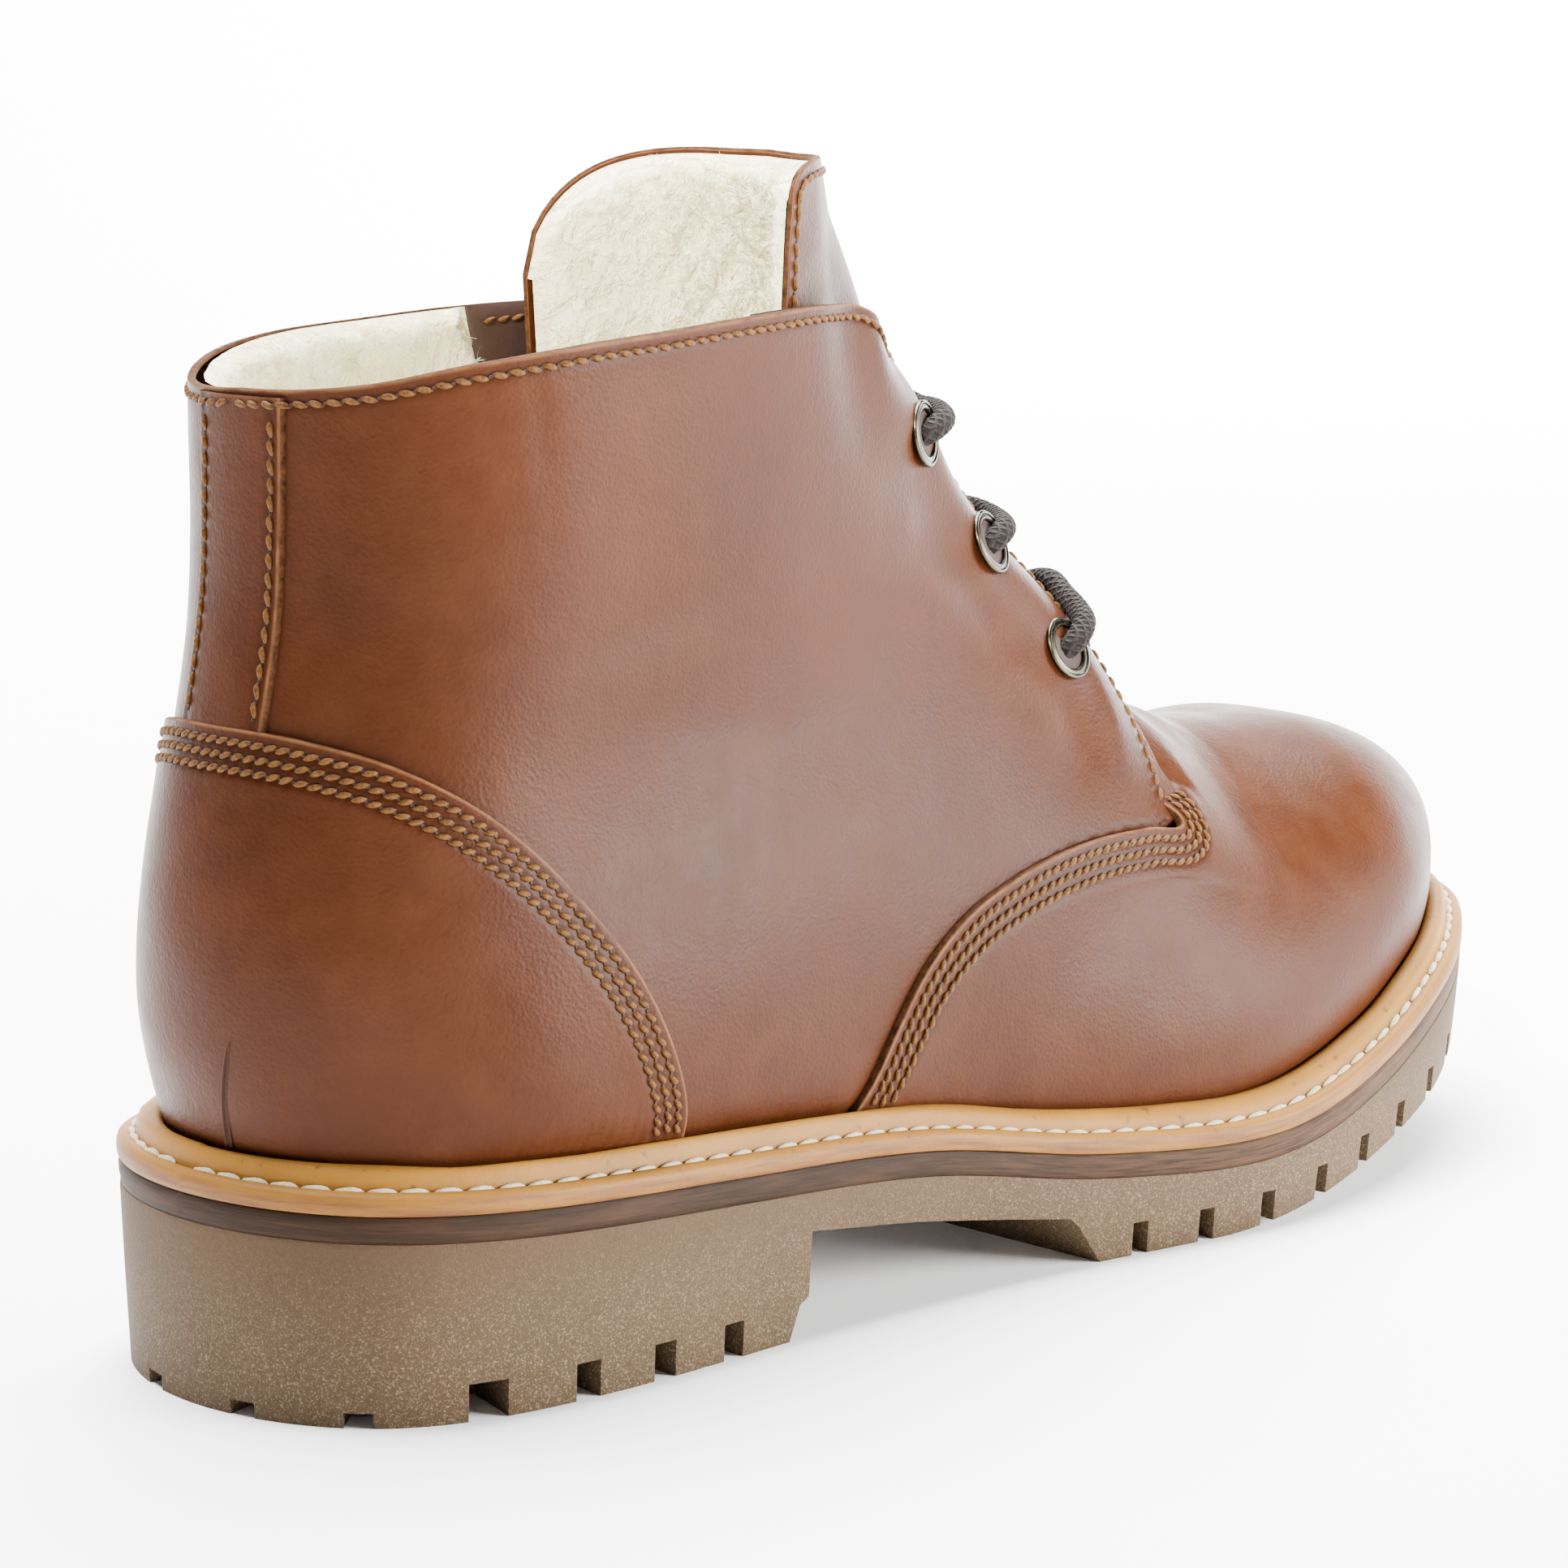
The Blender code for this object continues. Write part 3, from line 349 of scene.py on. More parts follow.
def stations(per_side):
    """t all the way round at even spacing: heel, lateral side, toe, medial side."""
    halves = []
    for side in (1, -1):
        t, run = side_run(side)
        halves.append(np.interp(np.linspace(0, run[-1], per_side + 1), run, t))
    return np.concatenate([halves[0][:-1], halves[1][:0:-1]])


def at_distance(distance):
    """Edge point and inward direction at a distance from the heel's back."""
    t, run = side_run(1 if distance >= 0 else -1)
    k = int(np.searchsorted(run, abs(distance)))
    edge, inward = outline(t)
    return edge[k], inward[k], run[-1]


def t_at(x, side):
    """t where the outline passes a station."""
    t = side * np.linspace(0, 1, SIDE_POINTS)
    return float(t[np.argmin(np.abs(outline(t)[0][:, 0] - x))])


# -------------------- the last
SIDE_T = np.linspace(0, 1, 401)
LATERAL_EDGE = outline(SIDE_T, LAST_INSET)[0]
MEDIAL_EDGE = outline(-SIDE_T, LAST_INSET)[0]
LAST_TIP = LATERAL_EDGE[-1, 0]
RIDGE_Y = FOOT.curve("station", "ridge_y")
RIDGE_Z = FOOT.curve("station", "ridge_z")
FOOT_POWER = FOOT.curve("station", "power")
SHAFT_BACK = SHAFT.curve("height", "back")
SHAFT_FRONT = SHAFT.curve("height", "front")
SHAFT_LATERAL = SHAFT.curve("height", "lateral")
SHAFT_MEDIAL = SHAFT.curve("height", "medial")
SHAFT_MIDDLE = SHAFT.curve("height", "middle")
COLLAR_Z = COLLAR.curve("station", "height")
ORDER_L = np.argsort(LATERAL_EDGE[:, 0])
ORDER_M = np.argsort(MEDIAL_EDGE[:, 0])


def rounded(y):
    """Distance from the ridge, eased near it so that the ridge isn't sharp."""
    return np.hypot(y, RIDGE_ROUND) - RIDGE_ROUND


def foot_form(x, y, z):
    """Below zero inside the foot: sections |across|^p + |above|^p, closed at the toe, and ended
    by a rounded plane inside the heel."""
    start = FOOT["station"][0]
    at = np.clip(x, start, LAST_TIP - 1e-3)
    near = np.clip((at - TOE_START) / (LAST_TIP - TOE_START), 0, 1)
    closing = (1 - near**TOE_POWER) ** (1 / TOE_POWER)
    widest = TOP(at) + WELT_THICK + BULGE_UP
    ridge_y = RIDGE_Y(at) * (1 - near**4) + TIP_Y * near**4
    ridge_z = widest + (RIDGE_Z(at) - widest) * closing
    lateral = np.interp(at, LATERAL_EDGE[ORDER_L, 0], LATERAL_EDGE[ORDER_L, 1])
    medial = np.interp(at, MEDIAL_EDGE[ORDER_M, 0], MEDIAL_EDGE[ORDER_M, 1])
    half = np.maximum(np.where(y < ridge_y, ridge_y - lateral, medial - ridge_y), 1e-3)
    across = rounded(y - ridge_y) / rounded(half)
    above = np.maximum(z - widest, 0) / np.maximum(ridge_z - widest, 1e-3)
    below = np.maximum(widest - z, 0) / TUCK
    power = FOOT_POWER(at)
    size = (across**power + above**power + below**2.2) ** (1 / power)
    scale = np.minimum((medial - lateral) / 2, FORM_SCALE)
    ahead = (size - 1) * scale
    behind = start - x
    value = np.maximum(ahead, behind)
    value += BACK_ROUND / 4 * np.maximum(1 - np.abs(ahead - behind) / BACK_ROUND, 0) ** 2
    return np.where(x < LAST_TIP - 1e-6, value, FORM_SCALE)


def shaft_form(x, y, z):
    """Below zero inside the shaft: level egg-shaped sections from heel to collar."""
    at = np.clip(z, SHAFT["height"][0], SHAFT["height"][-1])
    middle = SHAFT_MIDDLE(at)
    half = np.where(y < 0, SHAFT_LATERAL(at), SHAFT_MEDIAL(at))
    reach = np.where(x < middle, middle - SHAFT_BACK(at), SHAFT_FRONT(at) - middle)
    power = SHAFT["power"][0]
    size = (np.abs((x - middle) / reach) ** power + np.abs(y / half) ** power) ** (1 / power)
    return (size - 1) * FORM_SCALE


def body(p):
    """Below zero inside the upper's outer face: foot and shaft run smoothly together."""
    x, y, z = np.moveaxis(np.asarray(p, float), -1, 0)
    foot = foot_form(x, y, z)
    shaft = shaft_form(x, y, z)
    mix = np.clip(0.5 + 0.5 * (shaft - foot) / BLEND, 0, 1)
    return shaft * (1 - mix) + foot * mix - BLEND * mix * (1 - mix)


def change(p):
    """Change of the body's form over a small step to either side of p, along x, y and z."""
    return np.stack([
        body(p + FACE_STEP * axis) - body(p - FACE_STEP * axis) for axis in np.eye(3)
    ], -1)


def normal(p):
    """Outward direction of the upper's face at p."""
    return unit(change(p))


def on_face(p):
    """Points moved straight to the outer face, by Newton's steps along its slope."""
    for _ in range(4):
        slope = change(p) / (2 * FACE_STEP)
        size = np.maximum(np.sum(slope**2, -1), 1e-3)
        p = p - slope * (body(p) / size)[..., None]
    return p


def cast(start, way, reach=300.0):
    """Where rays from inside the upper leave its outer face."""
    near = np.zeros(np.broadcast_shapes(start.shape, way.shape)[:-1])
    far = np.full(near.shape, float(reach))
    run = halve(lambda d: body(start + way * d[..., None]) < 0, near, far)
    return start + way * run[..., None]


def front_point(y, s):
    """The outer face in the front view: s up the instep and y across."""
    y, s = np.broadcast_arrays(np.asarray(y, float), np.asarray(s, float))
    start = s[..., None] * ALONG + INSIDE * EYE
    start[..., 1] = y
    return cast(start, EYE, 130.0)


def side_point(x, z, side):
    """The outer face in the side view."""
    start = np.stack(np.broadcast_arrays(np.asarray(x, float), 0.0, np.asarray(z, float)), -1)
    return cast(start, np.array([0.0, side, 0.0]), 80.0)


def back_point(y, z):
    """The outer face in the back view."""
    y, z = np.broadcast_arrays(np.asarray(y, float), np.asarray(z, float))
    return cast(np.stack([np.full(y.shape, AXIS[0]), y, z], -1), BACKWARD, 90.0)


def collar_point(azimuth, side):
    """The collar's edge at an azimuth (degrees from ahead) about the shaft."""
    a = np.radians(azimuth) * side
    way = np.stack([np.cos(a), np.sin(a), 0 * a], -1)
    z = np.full(a.shape, 160.0)
    for _ in range(4):
        start = np.stack([np.full(a.shape, AXIS[0]), 0 * a, z], -1)
        p = cast(start, way, 120.0)
        z = COLLAR_Z(p[..., 0]) - COLLAR_MEDIAL_DROP * np.clip(p[..., 1] / 30.0, 0, 1)
    return p


def welt_depth(t, rise):
    """How far inside the outline the upper's face is, at a height above the midsole."""
    def outside(depth):
        flat, _ = outline(t, depth)
        return body(np.column_stack([flat, TOP(flat[:, 0]) + rise])) > 0

    return halve(outside, np.zeros_like(t), np.full_like(t, 24.0))


def welt_line(t, rise=2.0):
    """The line where the upper goes down behind the welt's bead."""
    flat, _ = outline(t, welt_depth(t, rise))
    return np.column_stack([flat, TOP(flat[:, 0]) + rise])


# -------------------- soft shape of the leather
# Soft troughs. The side is -1 for lateral, the tilt is in degrees from level, and length and
# width are half sizes.
CREASES = Table(
    "station height side tilt length width depth",
    (30, 146, -1, 118, 10, 1.6, 0.28), (36, 147, -1, 108, 11, 1.6, 0.30),
    (43, 149, -1, 100, 10, 1.8, 0.26), (52, 142, -1, 150, 14, 3.0, 0.30),
    (66, 118, -1, 12, 26, 5.0, 0.45), (95, 96, -1, 168, 30, 6.0, 0.40),
    (62, 118, 1, 14, 26, 5.0, 0.45), (100, 98, 1, 168, 30, 6.0, 0.40),
    (34, 146, 1, 112, 11, 1.7, 0.28), (48, 147, 1, 96, 10, 1.8, 0.26),
    (222, 66, -1, 72, 14, 2.6, 0.22), (231, 62, -1, 80, 13, 2.6, 0.20),
    (226, 66, 1, 98, 14, 2.6, 0.22), (120, 140, -1, 30, 18, 5.0, 0.25),
)


def creases(p):
    """Depth of the soft troughs at p: each is a Gaussian across and along its own line, less a
    lower and wider one that leaves a ridge on either side."""
    total = np.zeros(p.shape[:-1])
    x, y, z = np.moveaxis(p, -1, 0)
    for c in CREASES.records():
        tilt = math.radians(c["tilt"])
        along = (x - c["station"]) * math.cos(tilt) + (z - c["height"]) * math.sin(tilt)
        across = (z - c["height"]) * math.cos(tilt) - (x - c["station"]) * math.sin(tilt)
        dent = np.exp(-(along / c["length"]) ** 2 - (across / c["width"]) ** 2)
        ridge = np.exp(-(along / c["length"]) ** 2 - (across / (2.2 * c["width"])) ** 2)
        total += (dent - 0.45 * ridge) * c["depth"] * (y * c["side"] > 0)
    return total


def waves(p):
    """A slow unevenness of the leather: two products of crossed sine waves, 0.10 and 0.07 high."""
    x, y, z = np.moveaxis(p, -1, 0)
    return (
        0.10 * np.sin(x / 9.1 + z / 13.0 + 1.3) * np.sin(z / 10.3 - y / 17.0)
        + 0.07 * np.sin(x / 4.7 - z / 6.9 + y / 8.0) * np.sin(z / 5.3 + x / 23.0 + 2.0)
    )


FACING_EDGES = [
    resample(front_point(side * OPENING[label], OPENING["s"]), 48) for side, label in SIDES
]


def from_facing(p):
    """Distance to the nearer facing's edge."""
    least = np.full(p.shape[:-1], 1e3)
    for edge in FACING_EDGES:
        for point in edge:
            least = np.minimum(least, np.linalg.norm(p - point, axis=-1))
    return least


def swell(p):
    """The facings are thicker: a band beside their edge that falls away 12 to 20 mm in, then a
    soft valley 24 mm in. Their very edge is drawn in, and all of it fades below the throat."""
    away = from_facing(p)
    low = step_up(p[..., 2], 72.0, 92.0)
    band = 1.1 * (1 - step_up(away, 12.0, 20.0)) - 1.0 * np.exp(-((away - 24) / 6.5) ** 2)
    edge = 2.6 * (1 - step_up(away, -2.0, 13.0))
    return low * (band - edge)


OUTLINE_RING = outline(np.linspace(-1, 1, 361))[0]


def tuck(p):
    """How far the leather is drawn in above the welt, so that the bead always shows: as much as
    it comes nearer the sole's outline than a distance that shrinks with height."""
    high = p[..., 2] - TOP(p[..., 0]) - 6.0
    need = 6.6 - 0.55 * high
    near = high < 14.0
    flat = p[..., :2][near]
    gap = np.full(len(flat), 1e3)
    for point in OUTLINE_RING:
        gap = np.minimum(gap, np.hypot(flat[:, 0] - point[0], flat[:, 1] - point[1]))
    short = np.zeros(p.shape[:-1])
    short[near] = np.logaddexp(0.0, (need[near] - gap) * 1.5) / 1.5
    return short * (1 - step_up(high, 11.0, 14.0))


def raised(p, lift):
    """Points on the outer face moved outward by lift, with the leather's own unevenness."""
    n = normal(p)
    return p + n * (lift + waves(p) - creases(p) + swell(p) - tuck(p))[..., None], n


# -------------------- mesh helpers
# The name of a slot for each finish.
SLOTS = {
    "leather": "leather_cognac", "lining": "leather_cognac", "thread": "leather_cognac",
    "fleece": "fleece_cream", "welt": "welt_tan", "welt_thread": "welt_tan",
    "midsole": "midsole_dark", "rubber": "rubber_outsole", "lace": "lace_brown",
    "eyelet": "eyelet_metal",
}
EDGE_T = np.linspace(-1, 1, 2001)
MIDDLE = (outline(EDGE_T)[0].min(0) + outline(EDGE_T)[0].max(0)) / 2


def place(points):
    """Millimetres from the heel's back to metres from the middle of the sole."""
    return (np.asarray(points, float) - np.array([MIDDLE[0], MIDDLE[1], 0.0])) * MM


def new_object(name, data):
    """An object at the scene's origin."""
    made = bpy.data.objects.new(name, data)
    bpy.context.scene.collection.objects.link(made)
    return made


def new_mesh(name, points, faces, material):
    """A smooth mesh from points in metres and lists of faces."""
    mesh = bpy.data.meshes.new(name)
    mesh.from_pydata(points.tolist(), [], faces)
    mesh.polygons.foreach_set("use_smooth", [True] * len(mesh.polygons))
    mesh.materials.append(material)
    return mesh


def face_outward(mesh):
    """Turns a closed mesh's faces outward."""
    shape = bmesh.new()
    shape.from_mesh(mesh)
    bmesh.ops.recalc_face_normals(shape, faces=shape.faces)
    shape.to_mesh(mesh)
    shape.free()


def joined(parts):
    """Several sets of points and faces as one set."""
    first = np.cumsum([0] + [len(points) for points, _ in parts])
    faces = [face for (_, each), base in zip(parts, first) for face in (np.asarray(each) + base).tolist()]
    return np.concatenate([points for points, _ in parts]), faces


def add_object(name, points, faces, finish, nodes=(), slot=None):
    """A finished piece: mesh in place, object at the origin, riding on the boot. Its slot argument is not
    used."""
    slot = slot or SLOTS[finish]
    made = new_object(name, new_mesh(name, place(points), faces, getattr(materials(), finish)))
    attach(made, "root")
    if nodes:
        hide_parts(*nodes)
    return made


def grid_faces(rows, across, wrap):
    """Four-sided faces of a grid, as an array; wrap joins its last column to its first."""
    i, j = np.meshgrid(np.arange(rows - 1), np.arange(across if wrap else across - 1), indexing="ij")
    nxt = (j + 1) % across
    return np.stack([i * across + j, i * across + nxt, (i + 1) * across + nxt, (i + 1) * across + j],
                    -1).reshape(-1, 4)


def grid_piece(name, grid, out, finish, nodes=(), wrap=False, marks=None, uv=None, slot=None):
    """A piece from a grid of points. out is any outward direction, used to turn its faces, marks
    are its attributes, and its UV map is the length run along rows and columns if none is given."""
    rows, across = grid.shape[:2]
    faces = grid_faces(rows, across, wrap)
    flat = grid.reshape(-1, 3)
    a, b, c = flat[faces[:, 0]], flat[faces[:, 1]], flat[faces[:, 2]]
    facing = np.cross(b - a, c - a)
    out = np.broadcast_to(out, grid.shape).reshape(-1, 3)
    if np.sum(facing * out[faces[:, 0]]) < 0:
        faces = faces[:, ::-1]
    mesh = add_object(name, flat, faces.tolist(), finish, nodes, slot).data
    for key, values in (marks or {}).items():
        layer = mesh.attributes.new(key, "FLOAT", "POINT")
        layer.data.foreach_set("value", np.asarray(values, np.float32).reshape(-1))
    if uv is None:
        u, v = (np.concatenate([[0], np.cumsum(np.linalg.norm(
            np.diff(grid, axis=axis), axis=-1).mean(1 - axis))]) for axis in (1, 0))
        uv = np.stack(np.broadcast_arrays(u[None, :] * MM, v[:, None] * MM), -1)
    layer = mesh.uv_layers.new(name="UVMap")
    index = np.empty(len(mesh.loops), np.int32)
    mesh.loops.foreach_get("vertex_index", index)
    layer.data.foreach_set("uv", uv.reshape(-1, 2)[index].astype(np.float32).reshape(-1))


def polar(p):
    """Azimuth and elevation of points about the inside of the ankle."""
    d = p - AXIS
    return np.unwrap(np.arctan2(d[..., 1], d[..., 0])), np.arctan2(
        d[..., 2], np.hypot(d[..., 0], d[..., 1]))


def from_polar(a, e):
    """Points of the outer face at azimuths and elevations about the ankle."""
    return cast(AXIS, np.stack([np.cos(e) * np.cos(a), np.cos(e) * np.sin(a), np.sin(e)], -1))


def ruled(first, last, fractions):
    """Rows of the outer face between two lines, straight in azimuth and elevation."""
    a0, e0 = polar(first)
    a1, e1 = polar(last)
    a1 = a1 - 2 * math.pi * np.round((a1 - a0).mean() / (2 * math.pi))
    f = np.asarray(fractions)[:, None]
    return from_polar(a0 + (a1 - a0) * f, e0 + (e1 - e0) * f)


class Seam:
    """A line on the outer face, with the directions along it, out of it and into the panel."""

    def __init__(self, points, count, into, soften=0):
        self.at = on_face(resample(points, count))
        self.ahead = unit(np.gradient(self.at, axis=0))
        self.out = normal(self.at)
        turned = unit(np.cross(self.out, self.ahead)) * into
        for _ in range(soften):
            turned[1:-1] = unit(turned[:-2] + 2 * turned[1:-1] + turned[2:])
        self.into = turned

    def beside(self, distance):
        """The line's points moved into the panel by a distance, on the outer face."""
        return on_face(self.at + self.into * distance)


def stitch_dip(distance, rows):
    """How far the leather is drawn in beside rows of stitching."""
    return sum(0.16 * np.exp(-((distance - d) / 0.75) ** 2) for d in rows)


# Round a cut edge: how far in from it and how far down, as shares of the leather's thickness,
# and how raw the leather is there.
RIM = Table(
    "inward down raw",
    (0.45, 1.0, 0.6), (0.10, 1.0, 1.0), (0.02, 0.88, 1.0), (0.0, 0.62, 1.0), (0.02, 0.38, 1.0),
    (0.04, 0.16, 1.0), (0.12, 0.04, 0.75), (0.26, 0.0, 0.25),
)
# Distances of the next rows from the edge.
RIM_NEXT = (0.75, 1.1, 1.4)


def panel(name, seam, foot, lift, sink, thick, rows, far, nodes, reach=9.0):
    """A leather panel from a cut edge to the line of its foot. Its rows of points are: round the
    cut edge, then parallel to it as far as reach, then far ones ruled to the foot. lift(d) is how
    far it stands off the outer face at distance d from the cut edge, sink(d, points) lowers it
    from place to place, and rows are the distances of its rows of stitching."""
    rim = len(RIM.rows)
    round_in = thick * RIM["inward"]
    round_up = -thick * RIM["down"]
    near = np.concatenate([RIM_NEXT, np.arange(1.7, reach, 0.42)])
    lines = [seam.beside(d) for d in round_in]
    lines += [seam.beside(d) for d in near]
    last = seam.beside(reach)
    lines = np.concatenate([np.array(lines), ruled(last, foot, np.linspace(0, 1, far))])
    gap = np.linalg.norm(lines[-far:] - last, axis=-1)
    distance = np.concatenate([
        np.repeat(np.concatenate([round_in, near])[:, None], len(seam.at), 1), reach + gap])
    rise = lift(distance) - stitch_dip(distance, rows)
    rise[:rim] += round_up[:, None]
    rise -= sink(distance, lines)
    grid, n = raised(lines, rise)
    cut = np.zeros(grid.shape[:2])
    cut[:rim] = RIM["raw"][:, None]
    # Painted shade in the groove beside each row of stitching.
    painted_shade = sum(np.exp(-((distance - d) / 0.9) ** 2) for d in rows) + np.zeros(grid.shape[:2])
    grid_piece(name, grid, n, "leather", nodes, marks={"cut": cut, "painted_shade": painted_shade})


def facing_line(side):
    """One facing's front edge and the collar, from the vamp to the back of the shaft."""
    half = OPENING[dict(SIDES)[side]]
    facing = front_point(side * half, OPENING["s"])
    azimuth = np.concatenate([[31.0, 38.0, 46.0], np.linspace(58, 180, 12)])
    return np.vstack([facing, collar_point(azimuth, side)])


def vamp_line():
    """The vamp's cut edge: up one side, across the ridge, down the other side."""
    x = VAMP["station"]
    z = VAMP["height"]
    s = VAMP_BACK["s"]
    lateral = front_point(-VAMP_BACK["lateral"], s)
    medial = front_point(VAMP_BACK["medial"], s)
    return np.vstack([side_point(x, z, -1), lateral, medial[::-1], side_point(x, z, 1)[::-1]])


def counter_line():
    """The heel counter's cut edge, from the lateral welt over the back to the medial welt."""
    x = COUNTER["station"]
    z = COUNTER["height"]
    return np.vstack([side_point(x, z, -1), back_point([0.0], COUNTER_BACK), side_point(x, z, 1)[::-1]])


# -------------------- materials
class Tree:
    """A short way to write a material's nodes."""

    def __init__(self, name):
        self.material = bpy.data.materials.new(name)
        self.material.use_nodes = True
        self.tree = self.material.node_tree
        self.shader = self.tree.nodes["Principled BSDF"]

    def node(self, kind, inputs=None, **settings):
        """A node with its settings, and with values or links put into its sockets."""
        made = self.tree.nodes.new(kind)
        for key, value in settings.items():
            setattr(made, key, value)
        for key, value in (inputs or {}).items():
            self.put(made.inputs[key], value)
        return made

    def put(self, socket, value):
        """Links another node's output to a socket, or sets the socket's own value."""
        if isinstance(value, bpy.types.NodeSocket):
            self.tree.links.new(value, socket)
        else:
            socket.default_value = value

    def place(self, scale=(1, 1, 1), source="Object"):
        """Scaled coordinates: the boot's own in metres, or the piece's UV map."""
        if source == "UV":
            base = self.node("ShaderNodeUVMap", uv_map="UVMap").outputs[0]
        else:
            base = self.node("ShaderNodeTexCoord").outputs["Object"]
        return self.node("ShaderNodeMapping", {"Vector": base, "Scale": scale}).outputs[0]

    def noise(self, at, scale, detail=3.0, rough=0.5, distort=0.0):
        """Soft clouds between 0 and 1; scale is how many cross a metre."""
        return self.node("ShaderNodeTexNoise", {
            "Vector": at, "Scale": scale, "Detail": detail, "Roughness": rough,
            "Distortion": distort}).outputs["Fac"]

    def cells(self, at, scale):
        """Distance from the middles of scattered cells."""
        return self.node("ShaderNodeTexVoronoi", {"Vector": at, "Scale": scale}).outputs["Distance"]

    def span(self, value, low, high, to_low=0.0, to_high=1.0):
        """A value's range from low to high stretched to another range, and held at its ends."""
        return self.node("ShaderNodeMapRange", {
            "Value": value, "From Min": low, "From Max": high, "To Min": to_low,
            "To Max": to_high}).outputs[0]

    def math(self, how, a, b=0.0):
        """One sum of two values."""
        made = self.node("ShaderNodeMath", operation=how)
        self.put(made.inputs[0], a)
        self.put(made.inputs[1], b)
        return made.outputs[0]

    def part(self, at, axis):
        """One of the three coordinates."""
        return self.node("ShaderNodeSeparateXYZ", {"Vector": at}).outputs[axis]

    def mix(self, factor, a, b):
        """Colour a where the factor is 0, colour b where it is 1."""
        made = self.node("ShaderNodeMix", data_type="RGBA")
        self.put(made.inputs["Factor"], factor)
        self.put(made.inputs["A"], a)
        self.put(made.inputs["B"], b)
        return made.outputs["Result"]

    def mark(self, name):
        """An attribute of the piece."""
        return self.node("ShaderNodeAttribute", attribute_name=name).outputs["Fac"]

    def bump(self, height, distance, strength, after=None):
        """Surface relief of a depth in metres, on top of another one if given."""
        inputs = {"Height": height, "Distance": distance, "Strength": strength}
        if after is not None:
            inputs["Normal"] = after
        return self.node("ShaderNodeBump", inputs).outputs[0]

    def finish(self, **values):
        """Puts values into the shader's sockets and returns the material."""
        for key, value in values.items():
            self.put(self.shader.inputs[key.replace("_", " ")], value)
        return self.material


def rgba(color, gain=1.0):
    """A colour made lighter or darker by a gain."""
    return (color[0] * gain, color[1] * gain, color[2] * gain, 1.0)


def leather_material(colors):
    """Waxed full-grain leather: softly mottled brown, fine grain, raw fibre where it is cut, a
    paler line where a cut corner is rubbed, and painted shade in grooves beside stitching and in the dart."""
    t = Tree("leather")
    at = t.place()
    cloud = t.noise(at, 17.0, 3.0, 0.5)
    fine = t.noise(at, 150.0, 4.0, 0.6)
    pores = t.cells(at, 1500.0)
    base = t.mix(t.span(cloud, 0.30, 0.70, 0.25, 1.0), rgba(colors.leather_dark), rgba(colors.leather))
    worn = t.noise(at, 46.0, 5.0, 0.65)
    base = t.mix(t.span(worn, 0.48, 0.74, 0.0, 0.20), base, rgba(colors.leather_light))
    base = t.mix(t.span(fine, 0.40, 0.80, 0.0, 0.16), base, rgba(colors.leather_light))
    base = t.mix(t.span(pores, 0.0, 0.35, 0.22, 0.0), base, rgba(colors.leather_dark, 0.6))
    # Painted shade in the grooves beside rows of stitching and in the counter's dart, from the piece's
    # mark.
    base = t.mix(t.math("MULTIPLY", t.mark("painted_shade"), 0.55), base, rgba(colors.leather_dark, 0.55))
    fibre = t.noise(at, 760.0, 4.0, 0.7)
    raw = t.mix(t.span(fibre, 0.36, 0.62), rgba(colors.raw_edge, 0.32), rgba(colors.raw_edge, 1.15))
    mark = t.mark("cut")
    rub = t.math("MULTIPLY", t.math("MULTIPLY", mark, t.math("SUBTRACT", 1.0, mark)), 3.2)
    rub = t.math("MULTIPLY", rub, t.span(t.noise(at, 260.0), 0.30, 0.60, 0.25, 1.0))
    color = t.mix(t.span(mark, 0.5, 0.95), base, raw)
    color = t.mix(rub, color, rgba(colors.rubbed_edge))
    rough = t.span(fine, 0.2, 0.8, 0.34, 0.48)
    rough = t.math("ADD", rough, t.math("MULTIPLY", mark, 0.4))
    soft = t.bump(fine, 0.00028, 0.35)
    grain = t.bump(t.noise(at, 1050.0, 3.0, 0.6), 0.00011, 0.6, soft)
    skin = t.bump(pores, 0.00009, 0.5, grain)
    return t.finish(Base_Color=color, Roughness=rough, Normal=skin, Specular_IOR_Level=0.06)


def lining_material(colors):
    """The facing's unglazed inner leather, mottled, with a fine rough bump."""
    t = Tree("lining_leather")
    at = t.place()
    mottled = t.noise(at, 70.0, 4.0, 0.6)
    color = t.mix(t.span(mottled, 0.3, 0.7), rgba(colors.leather_dark, 0.75), rgba(colors.leather, 0.7))
    rough = t.bump(t.noise(at, 800.0, 4.0, 0.6), 0.0002, 0.6)
    return t.finish(Base_Color=color, Roughness=0.7, Normal=rough)


def fleece_material(colors):
    """Shorn sheepskin: cream tufts, with painted shade, darker and yellower, in their hollows, and deeper
    patches here and there.
    """
    t = Tree("fleece")
    at = t.place()
    clumps = t.noise(at, 210.0, 4.0, 0.62, 0.6)
    patches = t.noise(at, 38.0, 3.0, 0.5)
    # Painted shade: the pile's hollows, low in the same clumps that raise the bump, take the darker,
    # yellower colour.
    color = t.mix(t.span(clumps, 0.32, 0.62), rgba(colors.fleece_hollow_shade_and_patches), rgba(colors.fleece))
    color = t.mix(t.span(patches, 0.5, 0.75, 0.0, 0.45), color, rgba(colors.fleece_hollow_shade_and_patches, 1.08))
    curls = t.bump(t.noise(at, 560.0, 4.0, 0.72, 1.6), 0.0013, 0.8)
    pile = t.bump(clumps, 0.0032, 0.8, curls)
    return t.finish(Base_Color=color, Roughness=0.95, Normal=pile, Sheen_Weight=0.6,
                    Sheen_Roughness=0.5, Specular_IOR_Level=0.15, Subsurface_Weight=0.2,
                    Subsurface_Radius=(0.004, 0.003, 0.002), Subsurface_Scale=0.6)


